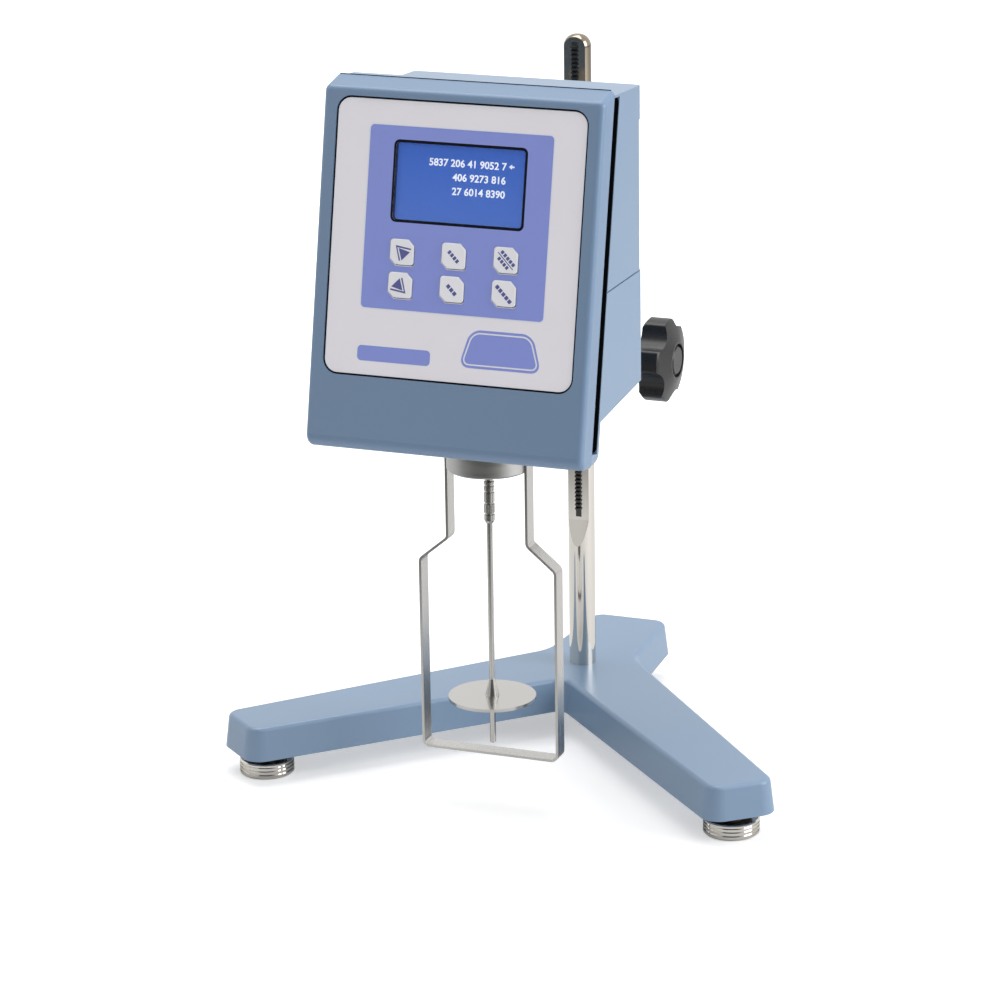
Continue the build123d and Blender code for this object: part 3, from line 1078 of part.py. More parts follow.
def build():
    """All nodes by name, drawn about the column axis."""
    shell = head_shell()
    parts = {
        "base_casting": base_casting(), "foot_locknuts": foot_locknuts(), "post": post(),
        "rack_strip": rack_strip(), "post_screw": post_screw(),
        "carriage_block": carriage_block(), "carriage_bushes": carriage_bushes(),
        "shaft_bushes": shaft_bushes(), "pinion": pinion(), "pinion_shaft": pinion_shaft(),
        "height_knob": height_knob(), "knob_cap": knob_cap(), "head_arm": head_arm(),
        "arm_screws": arm_screws(), "front_bezel": front_bezel(),
        "keypad_overlay": keypad_overlay(), "lcd_glass": lcd_glass(),
        "lcd_module": lcd_module(), "keypad_board": keypad_board(),
        "groove_frame": groove_frame(), "rear_housing": rear_housing(shell),
        "lower_housing": lower_housing(shell), "back_panel": back_panel(),
        "panel_screws": panel_screws(), "power_inlet": power_inlet(),
        "switch_frame": switch_frame(), "power_rocker": power_rocker(),
        "serial_port": serial_port(), "probe_socket": probe_socket(),
        "chassis_plate": chassis_plate(), "main_board": main_board(),
        "motor_bracket": motor_bracket(), "stepper_motor": stepper_motor(),
        "encoder_sensor": encoder_sensor(), "drive_shaft": drive_shaft(),
        "pivot_shaft": pivot_shaft(), "torsion_spring": torsion_spring(),
        "spindle_collar": spindle_collar(), "jewel_bearing": jewel_bearing(),
        "guard_leg": guard_leg(), "guard_screws": guard_screws(),
        "spindle_coupling": spindle_coupling(), "disc_spindle": disc_spindle(),
    }
    for name, (x, y) in FEET.items():
        parts[name] = foot(x, y)
    names = ("key_up", "key_quit", "key_start", "key_down", "key_tab", "key_enter")
    for name, (u, v) in zip(names, key_centres()):
        parts[name] = key(u, v)
    return parts


def main():
    """Move everything to the bottom-centre origin and write one STEP per node."""
    os.makedirs("parts", exist_ok=True)
    parts = build()
    boxes = [part.bounding_box() for part in parts.values()]
    x0, x1 = min(b.min.X for b in boxes), max(b.max.X for b in boxes)
    y0, y1 = min(b.min.Y for b in boxes), max(b.max.Y for b in boxes)
    z0, z1 = min(b.min.Z for b in boxes), max(b.max.Z for b in boxes)
    move = Location((-(x0 + x1) / 2, -(y0 + y1) / 2, -z0))
    for name, part in parts.items():
        export_step(move * part, f"parts/{name}.step")
    print("size", round(x1 - x0, 3), round(y1 - y0, 3), round(z1 - z0, 3))
    print("column axis in this frame", [round(v, 4) for v in move.position])


if __name__ == "__main__":
    main()
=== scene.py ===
import json
import math

import bmesh
import bpy
from bpy.props import FloatProperty, FloatVectorProperty, PointerProperty
from mathutils import Matrix, Vector


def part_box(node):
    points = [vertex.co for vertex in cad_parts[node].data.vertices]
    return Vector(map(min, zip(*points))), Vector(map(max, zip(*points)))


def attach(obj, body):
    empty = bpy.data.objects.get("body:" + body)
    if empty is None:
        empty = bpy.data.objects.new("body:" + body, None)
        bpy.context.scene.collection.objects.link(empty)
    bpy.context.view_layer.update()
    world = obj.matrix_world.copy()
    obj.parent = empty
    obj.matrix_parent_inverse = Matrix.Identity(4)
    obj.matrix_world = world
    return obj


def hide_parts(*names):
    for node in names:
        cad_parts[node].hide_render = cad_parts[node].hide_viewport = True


bl_info = {
    "name": "Rotational viscometer",
    "version": (1, 0, 0),
    "blender": (4, 5, 0),
    "location": "View3D > Sidebar > Viscometer",
    "description": "Dresses the viscometer's frame with finishes, printed label, display and stage",
    "category": "Add Mesh",
}

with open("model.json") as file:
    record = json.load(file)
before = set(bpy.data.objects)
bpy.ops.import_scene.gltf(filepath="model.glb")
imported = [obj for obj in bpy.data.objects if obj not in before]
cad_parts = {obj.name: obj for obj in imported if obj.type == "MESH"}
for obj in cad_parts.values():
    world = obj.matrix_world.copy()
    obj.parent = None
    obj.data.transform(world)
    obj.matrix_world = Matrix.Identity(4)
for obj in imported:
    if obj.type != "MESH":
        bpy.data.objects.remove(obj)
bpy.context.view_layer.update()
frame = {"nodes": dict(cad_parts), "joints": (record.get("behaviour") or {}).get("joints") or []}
MM = 0.001


def joint(name):
    """One joint of the frame by name."""
    return next(j for j in frame["joints"] if j["name"] == name)


def box_middle(node):
    """Centre of a CAD node's box."""
    low, high = (Vector(c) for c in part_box(node))
    return (low + high) / 2


# The panel's own axes: u to the right, v up the slope, w out of the panel.
PANEL_W = -Vector(joint("key_up_press")["axis"]).normalized()
PANEL_U = Vector((1, 0, 0))
PANEL_V = PANEL_W.cross(PANEL_U)
OVERLAY_T = 0.6 * MM
PANEL = Matrix.Translation(box_middle("keypad_overlay") + PANEL_W * OVERLAY_T / 2) @ Matrix(
    (PANEL_U, PANEL_V, PANEL_W)).transposed().to_4x4()
KEYS = ("key_up", "key_quit", "key_start", "key_down", "key_tab", "key_enter")
# Marks on the keys, in millimetres from a key's middle.
TRIANGLE = ((-1.7, 2.3), (4.6, 0.6), (0.2, -3.9))
CORNER_LINE = ((-3.4, 3.7), (5.1, 2.4), (5.0, 1.6), (-2.5, 2.7), (-0.5, -4.1), (-1.3, -4.1))
# Rows of small blocks across a key: how many, their width and height, and the row's rise.
KEY_ROWS = {
    "key_quit": ((4, 1.5, 2.0, 0.0),),
    "key_tab": ((3, 1.9, 2.0, 0.0),),
    "key_enter": ((5, 1.9, 2.0, 0.0),),
    "key_start": ((5, 1.6, 1.8, 1.75), (1, 12.0, 0.45, 0.0), (4, 1.5, 1.8, -1.75)),
}
BLOCK_GAP = 0.55
BLOCK_CORNER = 0.2
MARK_SLANT = math.radians(-45)
# Heights between which a dark olive painted reflection sets in on the column, in metres.
REFLECTION_TINT_HEIGHTS = (0.27, 0.35)
# Printed label: edges, corner radii and places on the panel.
PALE_EDGE = 0.7 * MM
WINDOW_CORNER = 3.0 * MM
KEY_CLEARANCE = 0.42 * MM
PLATE_AT, PLATE_CORNER = (-29.7 * MM, -59.3 * MM), 2.2 * MM
BADGE_AT, BADGE_CORNER, BADGE_LEAN = (28.6 * MM, -52.5 * MM), 5.6 * MM, 0.25
BADGE_LINE_LESS, BADGE_LINE_CORNER = 2.6 * MM, 4.4 * MM
# Black ring in the gap between the label and its recess: corner, play and thickness.
LABEL_GAP_BLACK_CORNER, LABEL_GAP_BLACK_PLAY, LABEL_GAP_BLACK_T = 8.0 * MM, 0.05 * MM, 0.35 * MM
# Display: levels below the panel's face, thicknesses, and its rows of figures.
LINER, LINER_PLAY, LINER_LEVEL, LINER_T = 0.35 * MM, 0.02 * MM, -2.3 * MM, 2.2 * MM
COVER_LEVEL, COVER_T, COVER_CORNER = -1.3 * MM, 0.5 * MM, 1.7 * MM
SCREEN_LEVEL, SCREEN_T, SCREEN_CORNER = -2.95 * MM, 0.6 * MM, 2.0 * MM
FIGURE_ROWS = ("5837 206 41 9052 7", "406 9273 816", "27 6014 8390")
FIRST_ROW, ROW_STEP, ROWS_END, FIGURE_HEIGHT = 9.0, 7.1, 24.4 * MM, 5.2 * MM
FIGURE_LEVEL = -2.3 * MM
POINTER_AT, POINTER_LEVEL = (27.2 * MM, 10.8 * MM), -2.32 * MM
POINTER = (3.0 * MM, 2.6 * MM, 0.75 * MM)   # length, height and stem
# Black lining in the groove, and a black strip over the seam that is painted shade of its gap.
LINING_CORNER, LINING_T = 3.0 * MM, 0.4 * MM
SEAM_SHADE_SHORT, SEAM_SHADE_HEIGHT, SEAM_SHADE_CORNER, SEAM_SHADE_T, SEAM_SHADE_RISE = 4 * MM, 3.0 * MM, 0.2 * MM, 0.6 * MM, 1.55 * MM
# Camera: bearing, rise and roll in degrees, the point it looks at, its distance and lens.
CAMERA_TURN, CAMERA_RISE, CAMERA_ROLL = 21.56, 17.33, 0.87
CAMERA_AIM = (-16.73, -22.21, 150.87)
CAMERA_DISTANCE, CAMERA_LENS, CAMERA_SENSOR = 2.1784, 144.53, 36
# Stage: lamps as (name, place, edge, watts), then brightness levels.
LAMPS = (
    ("side_light", (1.9, 0.1, 1.0), 1.4, 28),
    ("top_light", (-0.3, 0.3, 2.2), 1.8, 29),
    ("front_light", (-1.3, -1.9, 0.9), 1.6, 5),
)
WORLD_LIGHT = 0.47          # surroundings as a light
WORLD_MIRROR = (0.10, 1.0)  # surroundings in polished metal: viewer's side, far side
FLOOR_GLOW = (0.42, 0.80)   # the floor's own brightness near and far
FLOOR_REACH = (0.25, 1.1)   # distances between which it changes, in metres
FLOOR_DIM = (-0.22, -0.55)  # Y between which polished metal sees it turn dark
SKY_TURN = (-0.72, -0.30)   # the same for the surroundings' direction
FLOOR_SIZE, FLOOR_DROP = 6.0, 0.0002
LAMP_TARGET = (0, 0, 0.2)


def length(name, text, value):
    """A size that a user may change, in metres."""
    return FloatProperty(name=name, description=text, default=value, unit="LENGTH", precision=5)


def colour(name, text, value):
    """A finish colour that a user may change."""
    return FloatVectorProperty(name=name, description=text, default=value, subtype="COLOR",
                               size=3, min=0, max=1)


class ViscometerSizes(bpy.types.PropertyGroup):
    """Sizes of the printed label, the display and the small trim."""
    ink: length("Ink", "Height of the printed areas over the label", 0.06 * MM)
    field_width: length("Field width", "Width of the violet field", 99.8 * MM)
    field_height: length("Field height", "Height of the violet field", 93.5 * MM)
    field_u: length("Field across", "Violet field's centre along the panel", 0.55 * MM)
    field_v: length("Field up", "Violet field's centre up the panel", 10.8 * MM)
    field_corner: length("Field corner", "Corner radius of the violet field", 2.2 * MM)
    window_width: length("Window width", "Width of the display window", 70.6 * MM)
    window_height: length("Window height", "Height of the display window", 39.8 * MM)
    window_u: length("Window across", "Display window's centre along the panel", 0.55 * MM)
    window_v: length("Window up", "Display window's centre up the panel", 29.7 * MM)
    window_border: length("Window border", "Black line round the window", 1.1 * MM)
    key_width: length("Key width", "Width of a key's cap", 13.0 * MM)
    key_cut: length("Key cut", "Cut at two opposite corners of a key", 3.2 * MM)
    key_proud: length("Key height", "How far a key stands over the label", 0.9 * MM)
    label_width: length("Label width", "Width of the silver label", 135.2 * MM)
    label_height: length("Label height", "Height of the silver label", 140.7 * MM)
    label_gap: length("Label gap", "Gap between the label and its recess", 1.0 * MM)
    plate_width: length("Plate width", "Width of the bare violet plate", 40.2 * MM)
    plate_height: length("Plate height", "Height of the bare violet plate", 7.9 * MM)
    badge_width: length("Badge width", "Width of the bare violet badge at its foot", 45.0 * MM)
    badge_height: length("Badge height", "Height of the bare violet badge", 19.6 * MM)
    head_width: length("Head width", "Width between the lined groove's edges", 151.8 * MM)
    groove_foot: length("Groove foot", "Lower end of the groove along the panel", -101.6 * MM)
    groove_head: length("Groove head", "Upper end of the groove along the panel", 79.2 * MM)
    groove_depth: length("Groove depth", "Depth of the groove's lining", 3.2 * MM)
    groove_floor: length("Groove rear", "Rear wall of the groove behind the panel", -20.98 * MM)
    # Rear of the black strip over the seam, which is painted shade of the gap.
    seam_floor: length("Seam rear", "Rear of the rubber lip over the seam", -14.05 * MM)
    line: length("Line", "Width of the fine printed lines", 0.75 * MM)


class ViscometerColours(bpy.types.PropertyGroup):
    """Colours of the finishes."""
    paint: colour("Paint", "Blue-grey enamel of base and head", (0.196, 0.292, 0.424))
    # The front is the same enamel as the paint; its darker colour is painted shade, as the front
    # faces away from the lamps.
    front: colour("Front", "Moulded front of the head", (0.166, 0.258, 0.398))
    label: colour("Label", "Silver-grey membrane", (0.86, 0.84, 0.89))
    field: colour("Field", "Violet printed field", (0.250, 0.310, 0.740))
    screen: colour("Screen", "Lit display", (0.032, 0.108, 0.455))
    key: colour("Key", "Light grey key caps", (0.86, 0.86, 0.90))
    black: colour("Black", "Black plastic", (0.012, 0.012, 0.014))
    chrome: colour("Chrome", "Polished chrome", (0.72, 0.69, 0.64))
    steel: colour("Steel", "Stainless steel", (0.56, 0.55, 0.53))


def sizes():
    """The current sizes."""
    return bpy.context.scene.viscometer_sizes


def colours():
    """The current colours."""
    return bpy.context.scene.viscometer_colours


# ---- materials --------------------------------------------------------------
def new_material(name):
    """A node material with only its shader and output."""
    made = bpy.data.materials.new(name)
    made.use_nodes = True
    return made, made.node_tree.nodes, made.node_tree.links, made.node_tree.nodes["Principled BSDF"]


def object_noise(nodes, links, scale, detail=4.0, stretch=(1, 1, 1), rough=0.5):
    """Noise on the piece's own coordinates."""
    where = nodes.new("ShaderNodeTexCoord")
    place = nodes.new("ShaderNodeMapping")
    place.inputs["Scale"].default_value = stretch
    noise = nodes.new("ShaderNodeTexNoise")
    noise.inputs["Scale"].default_value = scale
    noise.inputs["Detail"].default_value = detail
    noise.inputs["Roughness"].default_value = rough
    links.new(where.outputs["Object"], place.inputs["Vector"])
    links.new(place.outputs["Vector"], noise.inputs["Vector"])
    return noise


def spread(nodes, links, source, low, high):
    """Map a noise's middle range to low..high."""
    made = nodes.new("ShaderNodeMapRange")
    made.inputs["From Min"].default_value = 0.3
    made.inputs["From Max"].default_value = 0.7
    made.inputs["To Min"].default_value = low
    made.inputs["To Max"].default_value = high
    links.new(source, made.inputs["Value"])
    return made.outputs["Result"]


def ramp(nodes, links, source, low, high, start, end):
    """Smooth change of a value from start to end while the source goes from low to high."""
    made = nodes.new("ShaderNodeMapRange")
    made.interpolation_type = "SMOOTHSTEP"
    for name, value in (("From Min", low), ("From Max", high), ("To Min", start),
                        ("To Max", end)):
        made.inputs[name].default_value = value
    links.new(source, made.inputs["Value"])
    return made.outputs["Result"]


def times(nodes, links, a, b):
    """Product of two values."""
    made = nodes.new("ShaderNodeMath")
    made.operation = "MULTIPLY"
    links.new(a, made.inputs[0])
    links.new(b, made.inputs[1])
    return made.outputs[0]


def blend(nodes, links, share, a, b):
    """Value between a and b; each is a number or another node's output."""
    made = nodes.new("ShaderNodeMix")
    links.new(share, made.inputs["Factor"])
    for name, value in (("A", a), ("B", b)):
        if isinstance(value, float):
            made.inputs[name].default_value = value
        else:
            links.new(value, made.inputs[name])
    return made.outputs["Result"]


def tint(nodes, links, shader, base, source, share):
    """Vary a colour by a small share either way."""
    mix = nodes.new("ShaderNodeMix")
    mix.data_type = "RGBA"
    mix.inputs["A"].default_value = (*[c * (1 - share) for c in base], 1)
    mix.inputs["B"].default_value = (*[min(1.0, c * (1 + share)) for c in base], 1)
    links.new(source, mix.inputs["Factor"])
    links.new(mix.outputs["Result"], shader.inputs["Base Color"])


def relief(nodes, links, shader, source, strength, distance):
    """Bump from a noise."""
    bump = nodes.new("ShaderNodeBump")
    bump.inputs["Strength"].default_value = strength
    bump.inputs["Distance"].default_value = distance
    links.new(source, bump.inputs["Height"])
    links.new(bump.outputs["Normal"], shader.inputs["Normal"])


def enamel(name, base, grain=900.0, rough=(0.30, 0.42)):
    """Sprayed enamel: orange-peel relief, faint cloudiness, uneven gloss."""
    made, nodes, links, shader = new_material(name)
    cloud = object_noise(nodes, links, 9.0, 3.0)
    peel = object_noise(nodes, links, grain, 2.0)
    tint(nodes, links, shader, base, cloud.outputs["Fac"], 0.045)
    links.new(spread(nodes, links, cloud.outputs["Fac"], *rough), shader.inputs["Roughness"])
    relief(nodes, links, shader, peel.outputs["Fac"], 0.10, 0.00015)
    shader.inputs["Coat Weight"].default_value = 0.25
    shader.inputs["Coat Roughness"].default_value = 0.18
    return made


def moulding(name, base, grain=1800.0, rough=(0.42, 0.55), depth=0.12):
    """Moulded plastic with a fine spark-eroded grain."""
    made, nodes, links, shader = new_material(name)
    cloud = object_noise(nodes, links, 14.0, 3.0)
    fine = object_noise(nodes, links, grain, 3.0)
    tint(nodes, links, shader, base, cloud.outputs["Fac"], 0.04)
    links.new(spread(nodes, links, fine.outputs["Fac"], *rough), shader.inputs["Roughness"])
    relief(nodes, links, shader, fine.outputs["Fac"], depth, 0.0001)
    return made


def metal(name, base, rough, stretch, scale=60.0, share=0.05, depth=0.05):
    """Metal with drawn or turned marks along one direction."""
    made, nodes, links, shader = new_material(name)
    shader.inputs["Metallic"].default_value = 1.0
    marks = object_noise(nodes, links, scale, 5.0, stretch, 0.6)
    tint(nodes, links, shader, base, marks.outputs["Fac"], share)
    links.new(spread(nodes, links, marks.outputs["Fac"], *rough), shader.inputs["Roughness"])
    relief(nodes, links, shader, marks.outputs["Fac"], depth, 0.00005)
    return made


def chrome_painted_reflection(name, base, oiled):
    """Polished chrome with a dark olive painted reflection over its upper end."""
    made = metal(name, base, (0.05, 0.10), (1, 1, 0.15), depth=0.01)
    nodes, links = made.node_tree.nodes, made.node_tree.links
    shader = nodes["Principled BSDF"]
    where, split = nodes.new("ShaderNodeTexCoord"), nodes.new("ShaderNodeSeparateXYZ")
    links.new(where.outputs["Object"], split.inputs["Vector"])
    reflection_tint = nodes.new("ShaderNodeMix")
    reflection_tint.data_type = "RGBA"
    # Painted reflection: this tint, the third argument, darkens the chrome towards its top.
    reflection_tint.inputs["B"].default_value = (*oiled, 1)
    links.new(ramp(nodes, links, split.outputs["Z"], *REFLECTION_TINT_HEIGHTS, 0.0, 1.0), reflection_tint.inputs["Factor"])
    links.new(shader.inputs["Base Color"].links[0].from_socket, reflection_tint.inputs["A"])
    links.new(reflection_tint.outputs["Result"], shader.inputs["Base Color"])
    return made


def printing(name, base, rough=(0.32, 0.42)):
    """Screen-printed ink on a polyester membrane."""
    made, nodes, links, shader = new_material(name)
    weave = object_noise(nodes, links, 2600.0, 2.0)
    cloud = object_noise(nodes, links, 22.0, 2.0)
    tint(nodes, links, shader, base, cloud.outputs["Fac"], 0.025)
    links.new(spread(nodes, links, cloud.outputs["Fac"], *rough), shader.inputs["Roughness"])
    relief(nodes, links, shader, weave.outputs["Fac"], 0.06, 0.00006)
    return made


def screen_material(name, base):
    """Lit display: a little paler towards its foot, with its dot grid."""
    made, nodes, links, shader = new_material(name)
    where = nodes.new("ShaderNodeTexCoord")
    grid = nodes.new("ShaderNodeTexChecker")
    grid.inputs["Scale"].default_value = 1.0 / (0.52 * MM)
    grid.inputs["Color1"].default_value = (*base, 1)
    grid.inputs["Color2"].default_value = (*[c * 0.9 for c in base], 1)
    split = nodes.new("ShaderNodeSeparateXYZ")
    fall = nodes.new("ShaderNodeMapRange")
    middle = PANEL @ Vector((sizes().window_u, sizes().window_v, 0))
    half = sizes().window_height / 2
    fall.inputs["From Min"].default_value = middle.z + half
    fall.inputs["From Max"].default_value = middle.z - half
    fall.inputs["To Min"].default_value = 0.0
    fall.inputs["To Max"].default_value = 0.07
    mix = nodes.new("ShaderNodeMix")
    mix.data_type = "RGBA"
    mix.inputs["B"].default_value = (0.45, 0.62, 0.98, 1)
    links.new(where.outputs["Object"], grid.inputs["Vector"])
    links.new(where.outputs["Object"], split.inputs["Vector"])
    links.new(split.outputs["Z"], fall.inputs["Value"])
    links.new(fall.outputs["Result"], mix.inputs["Factor"])
    links.new(grid.outputs["Color"], mix.inputs["A"])
    links.new(mix.outputs["Result"], shader.inputs["Base Color"])
    links.new(mix.outputs["Result"], shader.inputs["Emission Color"])
    shader.inputs["Emission Strength"].default_value = 0.45
    shader.inputs["Roughness"].default_value = 0.35
    shader.inputs["Specular IOR Level"].default_value = 0.05
    return made


def clear_cover(name):
    """Clear hard-coated window."""
    made, nodes, links, shader = new_material(name)
    haze = object_noise(nodes, links, 40.0, 3.0)
    shader.inputs["Base Color"].default_value = (0.97, 0.98, 1.0, 1)
    shader.inputs["Transmission Weight"].default_value = 1.0
    shader.inputs["IOR"].default_value = 1.2
    links.new(spread(nodes, links, haze.outputs["Fac"], 0.02, 0.06), shader.inputs["Roughness"])
    return made


def give(node, made):
    """Put a material on a CAD node."""
    obj = frame["nodes"][node]
    if obj.material_slots:
        for place in obj.material_slots:
            place.material = made
    else:
        obj.data.materials.append(made)


def finish_piece(name, bm, body, made, place=None):
    """Turn a bmesh into a piece at the origin that rides on a body."""
    if place is not None:
        bmesh.ops.transform(bm, matrix=place, verts=bm.verts)
    bmesh.ops.remove_doubles(bm, verts=bm.verts, dist=1e-7)
    bmesh.ops.recalc_face_normals(bm, faces=bm.faces)
    mesh = bpy.data.meshes.new(name)
    bm.to_mesh(mesh)
    bm.free()
    piece = bpy.data.objects.new(name, mesh)
    bpy.context.collection.objects.link(piece)
    mesh.materials.append(made)
    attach(piece, body)
    return piece


def on_panel(u, v, w=0.0, turn=0.0):
    """Placement of a flat shape on the panel."""
    return PANEL @ Matrix.Translation((u, v, w)) @ Matrix.Rotation(turn, 4, "Z")


def thicken(bm, height):
    """Give a flat shape its height along its own Z."""
    grown = bmesh.ops.extrude_face_region(bm, geom=bm.faces[:])
    top = [g for g in grown["geom"] if isinstance(g, bmesh.types.BMVert)]
    bmesh.ops.translate(bm, verts=top, vec=(0, 0, height))


def rounded_patch(width, height, corner, lean=0.0):
    """Flat rectangle, or a shape that narrows upwards, with round corners."""
    bm = bmesh.new()
    bmesh.ops.create_grid(bm, x_segments=1, y_segments=1, size=0.5)
    bmesh.ops.scale(bm, vec=(width, height, 1), verts=bm.verts)
    top = [v for v in bm.verts if v.co.y > 0]
    bmesh.ops.scale(bm, vec=(1 - lean, 1, 1), verts=top)
    bmesh.ops.bevel(bm, geom=bm.verts[:], offset=corner, segments=6, profile=0.5,
                    affect="VERTICES", material=-1)
    return bm


def patch(name, place, width, height, corner, thick, made, lean=0.0, body="head"):
    """Printed area with round corners."""
    bm = rounded_patch(width, height, corner, lean)
    thicken(bm, thick)
    return finish_piece(name, bm, body, made, place)


def ring_patch(name, place, width, height, corner, line, thick, made, slot, lean=0.0):
    """Printed line that runs round an area."""
    bm = rounded_patch(width, height, corner, lean)
    inner = bm.faces[:]
    bmesh.ops.inset_region(bm, faces=inner, thickness=line, use_even_offset=True,
                           use_boundary=True)
    bmesh.ops.delete(bm, geom=inner, context="FACES")
    thicken(bm, thick)
    return finish_piece(name, bm, "head", made, place)


def cut(piece, cutters):
    """Take temporary solids out of a piece."""
    for cutter in cutters:
        modifier = piece.modifiers.new("cut", "BOOLEAN")
        modifier.operation = "DIFFERENCE"
        modifier.solver = "EXACT"
        modifier.object = cutter
    graph = bpy.context.evaluated_depsgraph_get()
    graph.update()
    made = bpy.data.meshes.new_from_object(piece.evaluated_get(graph))
    piece.modifiers.clear()
    old, piece.data = piece.data, made
    bpy.data.meshes.remove(old)
    for cutter in cutters:
        bpy.data.objects.remove(cutter)


def block(place, bm, low, high):
    """Temporary solid for cutting a flat outline's window."""
    bmesh.ops.translate(bm, verts=bm.verts, vec=(0, 0, low))
    thicken(bm, high - low)
    bmesh.ops.transform(bm, matrix=place, verts=bm.verts)
    bmesh.ops.recalc_face_normals(bm, faces=bm.faces)
    mesh = bpy.data.meshes.new("cutter")
    bm.to_mesh(mesh)
    bm.free()
    solid = bpy.data.objects.new("cutter", mesh)
    bpy.context.collection.objects.link(solid)
    return solid


def key_outline(grow=0.0):
    """Flat key outline: a square with two opposite corners cut, the others rounded."""
    s = sizes()
    h, c = s.key_width / 2 + grow, s.key_cut + 0.6 * grow
    bm = bmesh.new()
    points = [(-h, h), (h - c, h), (h, h - c), (h, -h), (-h + c, -h), (-h, -h + c)]
    bm.faces.new([bm.verts.new((x, y, 0)) for x, y in reversed(points)])
    sharp = [v for v in bm.verts if abs(abs(v.co.x) - h) < 1e-7 and abs(abs(v.co.y) - h) < 1e-7]
    bmesh.ops.bevel(bm, geom=sharp, offset=1.6 * MM, segments=4, profile=0.5,
                    affect="VERTICES", material=-1)
    return bm


def key_place(node):
    """Panel coordinates of a key's middle."""
    local = PANEL.inverted() @ box_middle(node)
    return local.x, local.y


class VISCOMETER_OT_finishes(bpy.types.Operator):
    """Give every CAD node its finish"""
    bl_idname = "viscometer.finishes"
    bl_label = "Finishes"

    def execute(self, context):
        c = colours()
        paint = enamel("blue_grey_enamel", c.paint)
        # Same enamel as the paint, made darker as painted shade.
        front = enamel("front_enamel_painted_shade", c.front, grain=1100.0, rough=(0.34, 0.46))
        black = moulding("black_moulding", c.black)
        knob = moulding("knob_phenolic", (0.010, 0.010, 0.011), rough=(0.26, 0.38), depth=0.06)
        chrome = metal("chrome_plate", c.chrome, (0.05, 0.10), (1, 1, 0.15), depth=0.01)
        drawn = metal("drawn_strip", c.steel, (0.22, 0.36), (1, 1, 0.03), 400.0)
        rack = metal("oiled_rack", (0.10, 0.10, 0.095), (0.25, 0.4), (1, 1, 0.3), 500.0)
        turned = metal("turned_steel", c.steel, (0.16, 0.28), (0.05, 0.05, 1), 700.0)
        satin = metal("satin_collar", (0.50, 0.50, 0.49), (0.30, 0.42), (0.04, 0.04, 1), 600.0)
        anodised = metal("anodised_plate", (0.55, 0.56, 0.57), (0.35, 0.5), (1, 1, 1), 300.0)
        bearing = metal("bearing_brass", (0.62, 0.42, 0.16), (0.2, 0.35), (0.1, 0.1, 1), 300.0)
        board = moulding("circuit_board", (0.01, 0.10, 0.04), 500.0)
        # Matt black for the groove's lining, and for the seam strip that is painted shade.
        dark_lining = moulding("dark_lining_and_painted_shade", (0.004, 0.004, 0.005), 900.0, (0.85, 0.95))
        dark_lining.node_tree.nodes["Principled BSDF"].inputs["Specular IOR Level"].default_value = 0.1
        label = printing("membrane_silver", c.label)
        cap = moulding("key_cap", c.key, 1500.0, (0.3, 0.4), 0.05)
        jewel = moulding("jewel_red", (0.25, 0.01, 0.03), 300.0, (0.05, 0.1), 0.01)
        groups = {
            paint: ("base_casting", "carriage_block", "head_arm", "rear_housing", "lower_housing"),
            front: ("front_bezel",),
            knob: ("height_knob", "knob_cap"),
            # The post's upper end gets a dark olive painted reflection.
            chrome_painted_reflection("chrome_painted_reflection", c.chrome, (0.32, 0.27, 0.21)): ("post",),
            chrome: ("foot_left", "foot_right", "foot_rear"),
            drawn: ("guard_leg",),
            rack: ("rack_strip",),
            turned: ("post_screw", "pinion", "pinion_shaft", "arm_screws", "panel_screws",
                     "guard_screws", "spindle_coupling", "disc_spindle", "drive_shaft",
                     "pivot_shaft", "serial_port", "probe_socket"),
            satin: ("spindle_collar",),
            anodised: ("back_panel", "chassis_plate", "motor_bracket"),
            bearing: ("carriage_bushes", "shaft_bushes", "torsion_spring"),
            board: ("keypad_board", "main_board"),
            dark_lining: ("groove_frame",),
            label: ("keypad_overlay",),
            cap: KEYS,
            jewel: ("jewel_bearing",),
            black: ("foot_locknuts", "power_inlet", "switch_frame", "power_rocker",
                    "stepper_motor", "encoder_sensor", "lcd_module"),
        }
        for made, nodes in groups.items():
            for node in nodes:
                give(node, made)
        return {"FINISHED"}


